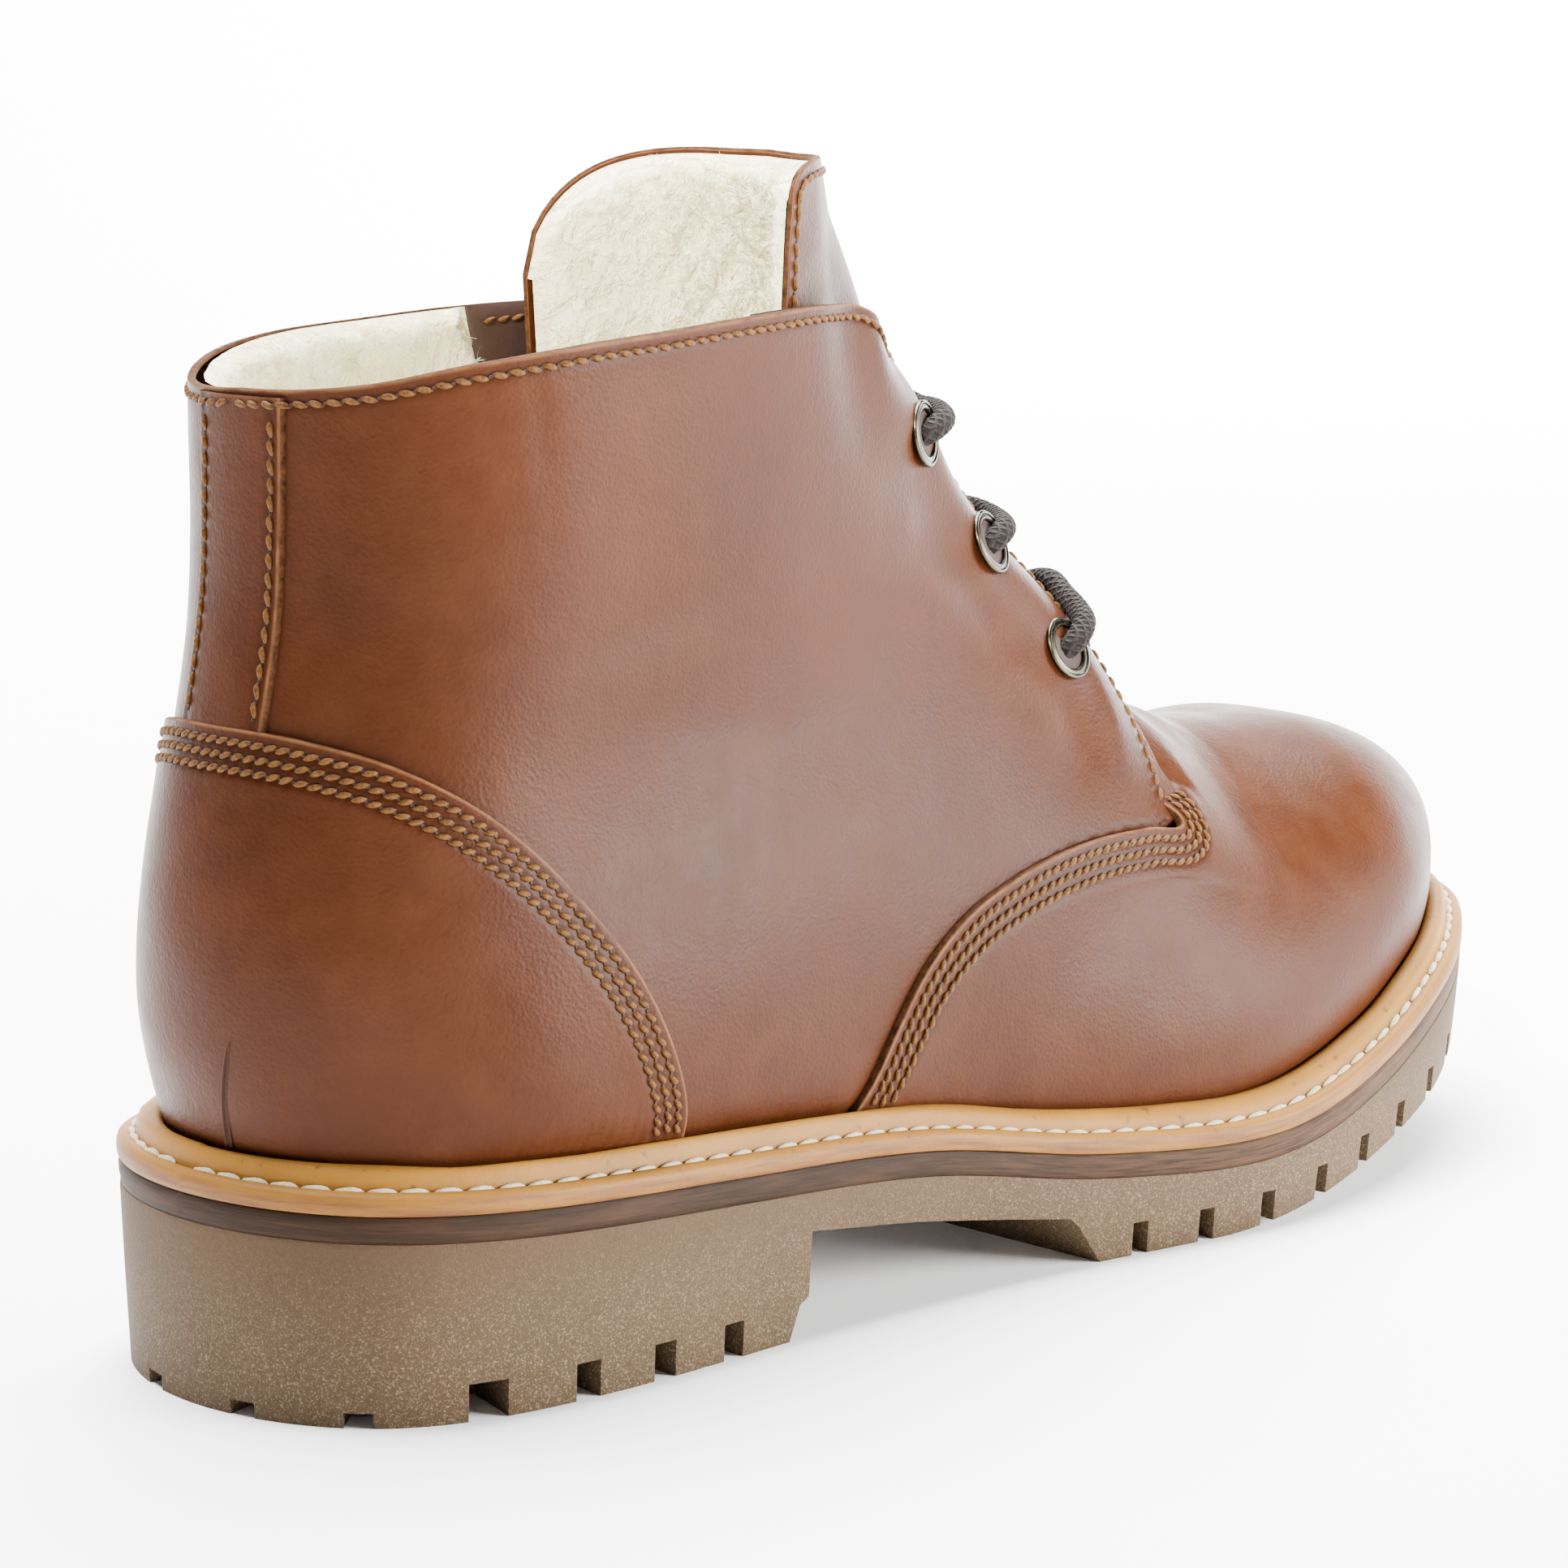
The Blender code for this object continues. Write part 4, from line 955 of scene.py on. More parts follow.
def thread_material(name, color, dark):
    """Twisted waxed thread, with painted shade, darker, between its strands."""
    t = Tree(name)
    at = t.place()
    strands = t.noise(at, 1700.0, 3.0, 0.6)
    # Painted shade between the strands, where their bump is low; dark sets how deep.
    tint = t.mix(t.span(strands, 0.3, 0.6), rgba(color, dark), rgba(color, 1.1))
    return t.finish(Base_Color=tint, Roughness=0.6, Normal=t.bump(strands, 0.00025, 0.8),
                    Specular_IOR_Level=0.12)


def hole_shade_material(colors):
    """Painted shade: the dark inside of a needle hole or an eyelet."""
    t = Tree("needle_hole_shade")
    color = t.mix(t.noise(t.place(), 900.0), rgba(colors.hole_deep_shade), rgba(colors.hole))
    return t.finish(Base_Color=color, Roughness=0.9)


def welt_material(colors):
    """Undyed vegetable-tanned leather with specks, burnished along its cut edge."""
    t = Tree("welt_leather")
    at = t.place()
    cloud = t.noise(at, 55.0, 4.0, 0.6)
    specks = t.noise(at, 420.0, 2.0, 0.5)
    color = t.mix(t.span(cloud, 0.3, 0.7), rgba(colors.welt, 0.80), rgba(colors.welt, 1.08))
    color = t.mix(t.span(specks, 0.66, 0.74, 0.0, 0.65), color, rgba(colors.welt_dark))
    lines = t.noise(t.place((60, 900, 1), "UV"), 1.0, 3.0, 0.6)
    edge = t.mix(t.span(lines, 0.35, 0.65), rgba(colors.welt_dark, 1.5), rgba(colors.welt, 0.75))
    color = t.mix(t.mark("burnish"), color, edge)
    skin = t.bump(t.noise(at, 900.0, 4.0, 0.65), 0.00016, 0.6)
    return t.finish(Base_Color=color, Roughness=0.55, Normal=skin, Specular_IOR_Level=0.15)


def midsole_material(colors):
    """A dark board sanded along its length: streaks of grey-brown, paler toward the toe."""
    t = Tree("midsole_board")
    at = t.place((110, 2600, 1), "UV")
    streak = t.noise(at, 1.0, 5.0, 0.65)
    broad = t.noise(t.place((45, 420, 1), "UV"), 1.0, 3.0, 0.5)
    color = t.mix(t.span(streak, 0.35, 0.68), rgba(colors.midsole, 0.55), rgba(colors.midsole, 1.25))
    color = t.mix(t.span(broad, 0.5, 0.72, 0.0, 0.6), color, rgba(colors.midsole_light))
    ahead = t.part(t.place(), "X")
    pale = t.math("MULTIPLY", t.span(ahead, -0.04, 0.12, 0.0, 0.75), t.span(streak, 0.35, 0.6))
    color = t.mix(pale, color, rgba(colors.midsole_light, 2.1))
    return t.finish(Base_Color=color, Roughness=0.68, Normal=t.bump(streak, 0.0002, 0.6),
                    Specular_IOR_Level=0.1)


def rubber_material(colors):
    """Crumbed rubber: beige-brown and pitted, with fine bright crumbs that thin out upward."""
    t = Tree("rubber")
    at = t.place()
    wide = t.noise(at, 24.0, 3.0, 0.5)
    crumbs = t.noise(at, 1300.0, 3.0, 0.7, 0.5)
    bits = t.noise(at, 2900.0, 2.0, 0.6, 0.6)
    high = t.part(at, "Z")
    low = t.span(high, 0.008, 0.030, 1.0, 0.12)
    color = t.mix(t.span(wide, 0.3, 0.7), rgba(colors.rubber, 0.86), rgba(colors.rubber, 1.06))
    color = t.mix(t.span(crumbs, 0.36, 0.58, 0.4, 0.0), color, rgba(colors.rubber, 0.5))
    shown = t.math("MULTIPLY", t.span(bits, 0.545, 0.66, 0.0, 0.75), low)
    color = t.mix(shown, color, rgba(colors.rubber_light))
    color = t.mix(t.span(high, 0.017, 0.030, 0.0, 0.6), color, rgba(colors.rubber_top))
    pits = t.bump(crumbs, 0.00028, 0.7)
    return t.finish(Base_Color=color, Roughness=0.74, Normal=pits, Specular_IOR_Level=0.12)


def lace_material(colors):
    """Tight round braid: two sets of slanting strands, with painted shade between them, and paler flecks.
    """
    t = Tree("braided_lace")
    at = t.place((1, 1, 1), "UV")
    parts = t.node("ShaderNodeSeparateXYZ", {"Vector": at})
    u = t.math("MULTIPLY", parts.outputs["X"], 2 * math.pi * 700)
    v = t.math("MULTIPLY", parts.outputs["Y"], 2 * math.pi * 6)
    one = t.math("SINE", t.math("ADD", u, v))
    two = t.math("SINE", t.math("SUBTRACT", u, v))
    braid = t.span(t.math("MAXIMUM", one, two), -0.2, 1.0)
    flecks = t.noise(t.place(), 1500.0, 3.0, 0.7)
    # Painted shade between the braid's strands, where their bump is low.
    color = t.mix(braid, rgba(colors.lace, 0.35), rgba(colors.lace, 1.15))
    color = t.mix(t.span(flecks, 0.56, 0.70, 0.0, 0.7), color, rgba(colors.lace_fleck))
    return t.finish(Base_Color=color, Roughness=0.78, Specular_IOR_Level=0.15,
                    Normal=t.bump(braid, 0.0005, 0.8, t.bump(flecks, 0.0002, 0.5)))


def eyelet_material(colors):
    """Nickelled brass, slightly rubbed."""
    t = Tree("eyelet_metal")
    at = t.place()
    rub = t.noise(at, 300.0, 4.0, 0.6)
    color = t.mix(t.span(rub, 0.35, 0.7), rgba(colors.eyelet, 0.85), rgba(colors.eyelet, 1.05))
    return t.finish(Base_Color=color, Metallic=1.0, Roughness=t.span(rub, 0.3, 0.7, 0.22, 0.38))


# -------------------- user sizes and colours
def shade(name, description, value):
    """A colour that the user can change."""
    return bpy.props.FloatVectorProperty(
        name=name, description=description, default=value, subtype="COLOR", size=3, min=0, max=1)


def length(name, description, value):
    """A length in metres that the user can change."""
    return bpy.props.FloatProperty(
        name=name, description=description, default=value, unit="LENGTH", min=0.0, precision=5)


class BootColors(bpy.types.PropertyGroup):
    """Colours of the materials"""

    leather: shade("Leather", "Body colour of the upper", (0.0395, 0.0105, 0.0029))
    leather_dark: shade("Leather, deep", "Colour of the leather's darker clouds", (0.0240, 0.0058, 0.0014))
    leather_light: shade("Leather, rubbed", "Colour where the finish thins", (0.078, 0.0265, 0.0090))
    raw_edge: shade("Raw edge", "Fibre at the leather's cut edges", (0.055, 0.021, 0.0075))
    rubbed_edge: shade("Rubbed edge", "Paler line along a cut corner", (0.14, 0.060, 0.024))
    thread: shade("Seam thread", "Thread of the upper's seams", (0.088, 0.0345, 0.0056))
    # Painted shade inside the needle holes and the eyelets.
    hole: shade("Holes", "Shade inside needle holes and eyelets", (0.035, 0.014, 0.008))
    hole_deep_shade: shade("Holes, deep", "Deeper shade inside the holes", (0.012, 0.005, 0.003))
    welt_thread: shade("Welt thread", "Thread along the welt", (0.46, 0.385, 0.25))
    welt: shade("Welt", "Undyed leather of the welt", (0.218, 0.094, 0.0090))
    welt_dark: shade("Welt, burnished", "Specks and burnished lines", (0.06, 0.020, 0.005))
    midsole: shade("Midsole", "Dark board under the welt", (0.018, 0.0083, 0.0035))
    midsole_light: shade("Midsole, sanded", "Paler sanded streaks", (0.042, 0.021, 0.0093))
    rubber: shade("Rubber", "Body of the sole", (0.059, 0.0365, 0.0185))
    rubber_light: shade("Rubber fibres", "Short bright fibres in the rubber", (0.175, 0.128, 0.078))
    rubber_top: shade("Rubber, sanded", "Rubber near the midsole", (0.050, 0.027, 0.012))
    lace: shade("Lace", "Braided strands", (0.0080, 0.0048, 0.0034))
    lace_fleck: shade("Lace flecks", "Paler flecks in the braid", (0.028, 0.019, 0.013))
    eyelet: shade("Eyelets", "Nickelled brass", (0.060, 0.052, 0.034))
    fleece: shade("Fleece", "Tips of the pile", (1.0, 0.93, 0.60))
    # Painted shade for the pile's hollows; also the colour of the fleece's random deeper patches.
    fleece_hollow_shade_and_patches: shade("Fleece, deep", "Hollows of the pile", (0.86, 0.74, 0.38))
    floor: shade("Floor", "Plain pale floor", (0.95, 0.95, 0.955))


class BootSizes(bpy.types.PropertyGroup):
    """Sizes of the fine pieces"""

    leather: length("Leather", "Thickness of the upper's leather", 0.0017)
    overlay: length("Overlay", "How far vamp and counter stand proud", 0.0014)
    seam_pitch: length("Seam pitch", "Distance between stitches of the triple seams", 0.0023)
    edge_pitch: length("Edge pitch", "Distance between stitches along collar and facings", 0.0028)
    thread: length("Thread", "Width of a seam stitch", 0.00097)
    seam_inset: length("Seam inset", "First row of stitches from a cut edge", 0.0022)
    row_gap: length("Row gap", "Distance between the rows of a triple seam", 0.0021)
    collar_inset: length("Collar inset", "Stitches from the collar's edge", 0.0022)
    welt_pitch: length("Welt pitch", "Distance between the welt's stitches", 0.0051)
    lace: length("Lace", "Diameter of the lace", 0.0042)
    eyelet: length("Eyelet", "Outer diameter of an eyelet", 0.0113)
    pile: length("Pile", "Length of the fleece's fibres", 0.0042)


class BootMaterials:
    """The materials, made once."""

    def __init__(self, colors):
        self.leather = leather_material(colors)
        self.lining = lining_material(colors)
        self.fleece = fleece_material(colors)
        self.thread = thread_material("seam_thread", colors.thread, 0.35)
        self.welt_thread = thread_material("welt_thread", colors.welt_thread, 0.72)
        self.hole = hole_shade_material(colors)
        self.welt = welt_material(colors)
        self.midsole = midsole_material(colors)
        self.rubber = rubber_material(colors)
        self.lace = lace_material(colors)
        self.eyelet = eyelet_material(colors)


class Shop:
    """What the operators share: materials and seams, made when first asked for."""

    made = {}

    @classmethod
    def get(cls, key, make):
        """The thing made under a key, making it the first time."""
        if key not in cls.made:
            cls.made[key] = make()
        return cls.made[key]


def materials():
    """The boot's materials."""
    return Shop.get("materials", lambda: BootMaterials(bpy.context.scene.boot_colors))


def sizes():
    """The user's sizes in millimetres, by name."""
    group = bpy.context.scene.boot_sizes
    return {key: getattr(group, key) / MM for key in BootSizes.__annotations__}


def facing_seam(side):
    """Cut edge of a facing and the collar."""
    return Shop.get(("facing", side), lambda: Seam(facing_line(side), 300, -side))


def vamp_seam():
    """Cut edge of the vamp."""
    return Shop.get("vamp", lambda: Seam(vamp_line(), 420, -1, 14))


def counter_seam():
    """Cut edge of the heel counter."""
    return Shop.get("counter", lambda: Seam(counter_line(), 260, 1))


def quarter_foot(side):
    """Outline's t below each point of a quarter's cut edge, from under the vamp to the heel."""
    return np.linspace(t_at(QUARTER_FOOT, -side), 0, len(facing_seam(side).at))


def vamp_foot():
    """Outline's t below each point of the vamp's cut edge, from side to side round the toe."""
    count = len(vamp_seam().at)
    half = count // 2
    return np.concatenate([np.linspace(t_at(VAMP_FOOT, 1), 1, half, endpoint=False),
                           np.linspace(-1, t_at(VAMP_FOOT, -1), count - half)])


def seam_rows(size):
    """Distances of a triple seam's rows from the cut edge."""
    return [size["seam_inset"] + k * size["row_gap"] for k in range(3)]


def quarter_lift(distance):
    """The quarters lie on the outer face itself."""
    return 0 * distance


def quarter_sink(distance, p):
    """The quarters lie deeper where the counter or the vamp covers them."""
    behind = np.interp(p[..., 2], COUNTER["height"], COUNTER["station"], right=-60.0)
    ahead = np.interp(p[..., 2], VAMP["height"][:-1], VAMP["station"][:-1], right=400.0)
    covered = step_up(behind - p[..., 0], 3.5, 9.0) + step_up(p[..., 0] - ahead, 3.5, 9.0)
    return 1.3 * covered


def overlay_lift(distance):
    """Vamp and counter stand proud at their cut edge and settle away from it, as a falling
    exponential."""
    settled = 0.2
    proud = sizes()["overlay"] - settled
    return settled + proud * np.exp(-np.maximum(distance - 8.0, 0) / 14.0)


def counter_sink(distance, p):
    """The counter isn't lowered anywhere."""
    return 0 * distance


def vamp_sink(distance, p):
    """Past the throat's corners the vamp's back edge dives under the facings, and between them
    the vamp slopes down to the tongue."""
    seam = vamp_seam()
    run = run_of(seam.at)
    corners = [run[np.argmin(np.linalg.norm(seam.at - edge[0], axis=1))] for edge in FACING_EDGES]
    inside = np.minimum(run - min(corners), max(corners) - run)[None, :]
    under = 3.2 * step_up(inside, 0.0, 9.0) * (1 - step_up(distance, 5.0, 16.0))
    between = step_up(34.0 - np.abs(p[..., 1]), 0.0, 20.0)
    slope = 7.0 * step_up(p @ ALONG, -98.0, -74.0) * between
    return np.sqrt(under**2 + slope**2)


# -------------------- stitches
def stitch_mesh(at, ahead, out, long, wide, high, tilt, around=8, along=7):
    """Points and faces of many stitches. Each is a bead: half width r = (1 - |u|^2.6)^0.5,
    its outline waved by two strands that twist along it, its ends sunk in the leather."""
    count = len(at)
    side = unit(np.cross(out, ahead))
    c = np.cos(tilt)[:, None]
    s = np.sin(tilt)[:, None]
    ahead, side = ahead * c + side * s, side * c - ahead * s
    u = np.linspace(-1, 1, along)
    v = turns(around)
    r = np.sqrt(np.maximum(1 - np.abs(u) ** 2.6, 0.02))
    wave = 1 + 0.13 * np.cos(2 * v[None, :] - 3.4 * u[:, None])
    y = r[:, None] * np.cos(v)[None, :] * wave
    z = r[:, None] * np.sin(v)[None, :] * wave + 0.35 - 0.75 * (u[:, None] ** 2)
    x = np.broadcast_to(u[:, None], y.shape)
    shape = np.stack([x, y, z], -1).reshape(-1, 3)
    size = np.array([long / 2, wide / 2, high / 2]) * shape[None]
    points = (at[:, None] + size[..., :1] * ahead[:, None] + size[..., 1:2] * side[:, None]
              + size[..., 2:] * out[:, None])
    one = grid_faces(along, around, True)
    faces = (one[None] + (np.arange(count) * along * around)[:, None, None]).reshape(-1, 4)
    return points.reshape(-1, 3), faces[:, ::-1]


def hole_shade_mesh(at, ahead, out, wide, around=8):
    """Painted shade at the needle holes: small dark pits, a ring on the leather and a point below it."""
    side = unit(np.cross(out, ahead))
    v = turns(around)
    ring = (at[:, None] + wide * (0.62 * np.cos(v)[None, :, None] * ahead[:, None]
                                  + 0.50 * np.sin(v)[None, :, None] * side[:, None])
            + 0.07 * out[:, None])
    deep = at - 0.12 * out
    points = np.concatenate([ring, deep[:, None]], 1).reshape(-1, 3)
    base = np.arange(len(at))[:, None, None] * (around + 1)
    k = np.arange(around)
    fan = np.stack([k, (k + 1) % around, np.full(around, around)], -1)
    return points, (base + fan[None]).reshape(-1, 3)


def stitch_line(line, out, pitch, seed):
    """Evenly spaced places along a line, a little uneven by hand, with its directions there."""
    run = run_of(line)
    count = max(int(run[-1] / pitch), 2)
    at = (np.arange(count) + 0.5) * pitch
    rng = np.random.default_rng(seed)
    at = at + rng.normal(0, 0.03 * pitch, count)

    def pick(a):
        return np.stack([np.interp(at, run, a[:, k]) for k in range(3)], -1)

    return pick(line), unit(pick(np.gradient(line, axis=0))), unit(pick(out)), rng.normal(0, 0.04, count)


class Rows:
    """Collects rows of stitches into one piece of thread and one of needle holes, dark with painted shade.
    """

    def __init__(self, name, thread="thread"):
        self.name = name
        self.thread = thread
        self.threads = []
        self.holes = []

    def add(self, line, out, pitch, wide, seed, tilt, fill=0.98, high=None):
        """One row of stitches that fill a share of their pitch, with a hole of painted shade between each
        two.
        """
        at, ahead, normals, jitter = stitch_line(line, out, pitch, seed)
        self.threads.append(stitch_mesh(
            at, ahead, normals, pitch * fill, wide, high or wide * 0.95, tilt + jitter))
        self.holes.append(hole_shade_mesh(at + ahead * pitch / 2, ahead, normals, wide * 0.62))

    def build(self):
        """Makes the two pieces."""
        add_object(f"{self.name}_thread", *joined(self.threads), self.thread)
        add_object(f"{self.name}_holes", *joined(self.holes), "hole", slot=SLOTS[self.thread])


# -------------------- fleece
def tufts(name, at, out, long, seed, count=16000, lean=0.55):
    """Fine curled fibres: each an arc of three flat links from a point of a surface."""
    rng = np.random.default_rng(seed)
    pick = rng.integers(0, len(at), count)
    base = at[pick] + rng.normal(0, 0.45, (count, 3))
    way = unit(out[pick] + lean * rng.normal(0, 1, (count, 3)))
    bend = unit(np.cross(way, rng.normal(0, 1, (count, 3))))
    side = unit(np.cross(way, bend))
    size = long * rng.uniform(0.45, 1.1, count)[:, None]
    curl = rng.uniform(0.5, 2.4, count)[:, None]
    wide = rng.uniform(0.035, 0.07, count)[:, None]
    links = []
    for k, f in enumerate((0.0, 0.36, 0.7, 1.0)):
        spot = base + size * (way * np.sin(curl * f) / curl + bend * (1 - np.cos(curl * f)) / curl)
        half = side * wide * (1 - 0.6 * f)
        links.append(spot - half)
        links.append(spot + half)
    points = np.stack(links, 1).reshape(-1, 3)
    first = np.array([[2 * k, 2 * k + 1, 2 * k + 3, 2 * k + 2] for k in range(3)])
    faces = (first[None] + (np.arange(count) * 8)[:, None, None]).reshape(-1, 4)
    add_object(name, points, faces.tolist(), "fleece")


def lumps(p, size):
    """Uneven pile height at p: crossed waves of several lengths, sharpened into tufts."""
    x, y, z = np.moveaxis(p, -1, 0)
    total = 0.0
    for k, (f, phase) in enumerate(((0.9, 0.3), (1.7, 1.9), (2.9, 4.1), (4.3, 0.8))):
        a = np.sin(f * (x * 0.83 + z * 0.41) + phase) * np.sin(f * (z * 0.91 - y * 0.52) + 2 * phase)
        b = np.sin(f * (y * 1.07 + x * 0.37) - phase + 1.7 * a)
        total = total + (a + b) / (1.4 + k)
    return size * total


# -------------------- operators
class BootPiece:
    """What every operator shares"""

    bl_options = {"REGISTER", "UNDO"}


class BOOT_OT_quarters(BootPiece, bpy.types.Operator):
    """Both quarters: smooth leather from the welt to the collar, cut back at the throat"""

    bl_idname = "boot.quarters"
    bl_label = "Quarters"

    def execute(self, context):
        size = sizes()
        for side, label in SIDES:
            panel(f"quarter_{label}", facing_seam(side), welt_line(quarter_foot(side)),
                  quarter_lift, quarter_sink, 0.78 * size["leather"], (size["collar_inset"],), 88,
                  ("upper",), reach=5.6)
        return {"FINISHED"}


class BOOT_OT_vamp(BootPiece, bpy.types.Operator):
    """The vamp: one panel over the toe that laps over the quarters"""

    bl_idname = "boot.vamp"
    bl_label = "Vamp"

    def execute(self, context):
        size = sizes()
        panel("vamp", vamp_seam(), welt_line(vamp_foot()), overlay_lift, vamp_sink,
              size["leather"], seam_rows(size), 90, ("upper",))
        return {"FINISHED"}


class BOOT_OT_counter(BootPiece, bpy.types.Operator):
    """The outside heel counter with its slit, and the strip up the back seam"""

    bl_idname = "boot.counter"
    bl_label = "Heel counter and back strip"

    STRIP_HALF = 9.6
    STRIP_LOW = 101.5
    STRIP_HIGH = 153.8
    STRIP_THICK = 1.15
    STRIP_ROUND = 0.9
    STRIP_SEAM = 2.0
    # Points down the slit, near the counter's face.
    SLIT = ((2.6, -9.0, 58), (3.2, -7.4, 53), (4.4, -5.6, 47), (6.5, -4.2, 39))
    SLIT_HALF = 0.8
    SLIT_POINTS = 60

    def execute(self, context):
        size = sizes()
        seam = counter_seam()
        t = np.linspace(t_at(COUNTER_FOOT, 1), t_at(COUNTER_FOOT, -1), len(seam.at))
        panel("heel_counter_leather", seam, welt_line(t), overlay_lift, counter_sink,
              size["leather"], seam_rows(size), 64, ("heel_counter",))
        self.strip()
        self.slit()
        return {"FINISHED"}

    def strip(self):
        """A narrow sheet up the back, its long edges and its top rounded over as quarter
        circles."""
        half = self.STRIP_HALF
        turn = self.STRIP_ROUND * (1 - np.cos(np.linspace(0, 1.57, 6)))
        y = np.concatenate([turn - half, np.linspace(-half + 1.6, half - 1.6, 24), half - turn[::-1]])
        yy, zz = np.meshgrid(y, np.linspace(self.STRIP_LOW, self.STRIP_HIGH, 60))
        away = half - np.abs(yy)
        edge = np.clip(away / self.STRIP_ROUND, 0, 1)
        top = np.clip((self.STRIP_HIGH + 0.7 - zz) / self.STRIP_ROUND, 0, 1)
        rise = self.STRIP_THICK * np.sqrt(np.maximum(1 - (1 - np.minimum(edge, top)) ** 2, 0)) - 0.05
        rise -= stitch_dip(away, (self.STRIP_SEAM,))
        grid, n = raised(back_point(yy, zz), rise)
        cut = 1 - step_up(np.minimum(edge, top), 0.3, 0.95)
        # Painted shade in the groove beside the strip's row of stitching.
        painted_shade = np.exp(-((away - self.STRIP_SEAM) / 0.9) ** 2)
        grid_piece("back_strip_leather", grid, n, "leather", ("back_strip",),
                   marks={"cut": cut, "painted_shade": painted_shade})

    def slit(self):
        """The dart near the back of the counter: a narrow lip and, beside it, painted shade along a short
        line, each a Gaussian across it that fades toward the upper end."""
        count = self.SLIT_POINTS
        line = on_face(resample(self.SLIT, count))
        out = normal(line)
        ahead = unit(np.gradient(line, axis=0))
        side = unit(np.cross(out, ahead))
        u = np.linspace(-1, 1, 9)
        taper = np.sqrt(np.clip(np.linspace(0.02, 3, count), 0, 1))[:, None, None]
        flat = 1 - u**6
        rise = (0.06 + 0.24 * np.exp(-((u + 0.45) / 0.3) ** 2)) * flat - 0.1 * (1 - flat)
        base = overlay_lift(np.full(count, 40.0))[:, None]
        grid = (line[:, None] + side[:, None] * (u * self.SLIT_HALF)[None, :, None] * taper
                + out[:, None] * (base + 0.02 + rise[None] * taper[..., 0])[..., None])
        # Painted shade: the dark line of the dart beside its lip.
        dark = np.broadcast_to(3.2 * np.exp(-((u - 0.2) / 0.34) ** 2), grid.shape[:2])
        grid_piece("counter_slit", grid, out[:, None], "leather",
                   marks={"cut": 0 * dark, "painted_shade": dark * taper[:, :, 0]})


class BOOT_OT_lining(BootPiece, bpy.types.Operator):
    """Fleece inside the shaft and foot, with a leather lining behind each facing"""

    bl_idname = "boot.lining"
    bl_label = "Fleece lining"

    # Back edge of the leather behind a facing, from the throat to the collar.
    EDGE = Table(
        "station height",
        (172.0, 68.0), (150.0, 82.0), (112.0, 112.0), (93.0, 142.0), (88.5, 162.0),
    )
    # Distances of the fleece's first rows of points from the collar's edge, then the reach and
    # the number of the rows below them, and how many rows from the top carry loose fibres.
    NEAR = (0.3, 0.6, 1.0, 1.6, 2.4, 3.4, 4.8, 6.8, 9.2)
    REACH = 12.0
    FAR = 84
    FUZZY = 60
    FLEECE_DEEP = 3.6

    def execute(self, context):
        size = sizes()
        rims, outs = [], []
        for side, label in SIDES:
            grid, n, pile = self.fleece(side, label, size)
            row = np.arange(len(grid))[:, None]
            fuzzy = (pile > 0.6) & (row > 6) & (row < self.FUZZY)
            border = (pile > 0.15) & (pile < 0.95) & (row > 5) & (row < self.FUZZY)
            rims += [grid[fuzzy], np.repeat(grid[border], 12, 0)]
            outs += [-n[fuzzy] - [0, 0, 0.2], np.repeat([1.0, 0, -0.3] - 0.5 * n[border], 12, 0)]
            self.facing(side, label, size)
        tufts("fleece_fibres", np.concatenate(rims), np.concatenate(outs), size["pile"] * 0.5, 3)
        self.toe(size)
        return {"FINISHED"}

    def fleece(self, side, label, size):
        """The inside of one quarter: its outer face drawn in by the leather and the pile, which
        swells from the collar as a quarter circle, and ends along the facing's leather."""
        height = self.EDGE["height"]
        edge = smooth(height, self.EDGE["station"])
        seam = facing_seam(side)
        lines = np.concatenate([
            [seam.beside(d) for d in self.NEAR],
            ruled(seam.beside(self.REACH), welt_line(quarter_foot(side), 7.0),
                  np.linspace(0, 1, self.FAR))])
        z = lines[..., 2]
        ragged = 0.7 * np.sin(0.55 * z) + 0.5 * np.sin(1.7 * z + 1.0)
        ahead = edge(z) - lines[..., 0] + ragged
        pile = np.where(z < height[0], 1.0, step_up(ahead, 0.4, 3.0))
        depth = np.concatenate([self.NEAR, np.full(self.FAR, self.REACH)])[:, None]
        deep = self.FLEECE_DEEP
        full = deep * pile * np.sqrt(1 - (1 - np.clip(depth / deep, 0, 1)) ** 2)
        n = normal(lines)
        rough = lumps(lines, 0.30) * pile * np.clip(depth / 3.0, 0.2, 1)
        leather = size["leather"] * (0.7 + 0.3 * np.clip(depth / 4.0, 0, 1)) + 0.2 * (1 - pile)
        grid = lines + n * (swell(lines) - tuck(lines) - leather - full - rough)[..., None]
        grid_piece(f"fleece_{label}", grid, -n, "fleece", ("upper",))
        return grid, n, pile

    def facing(self, side, label, size):
        """A four-sided sheet: one side is the facing's edge, one the collar, and its back edge
        follows the table. Between them it is a straight mix in azimuth and elevation, corrected
        at the top so that it keeps to the collar."""
        count = 90
        edge = FACING_EDGES[0 if side < 0 else 1]
        front = resample(edge, count)
        back = resample(side_point(self.EDGE["station"], self.EDGE["height"], side), count)
        seam = facing_seam(side)
        start = np.argmin(np.linalg.norm(seam.at - front[-1], axis=1))
        end = np.argmin(np.linalg.norm(seam.at - back[-1], axis=1))
        u = np.concatenate([[0.006, 0.012, 0.02], np.linspace(0.035, 0.985, 46), [0.994, 0.998, 1.0]])
        v = np.linspace(0, 1, count)
        top = resample(seam.at[start:end], 60)
        top = np.stack([np.interp(u, np.linspace(0, 1, 60), top[:, k]) for k in range(3)], -1)
        mixed = []
        for f, b, t in zip(polar(front), polar(back), polar(top)):
            flat = f[None] * (1 - u[:, None]) + b[None] * u[:, None]
            mixed.append(flat + (t - flat[:, -1])[:, None] * v[None] ** 2)
        face = from_polar(*mixed)
        n = normal(face)
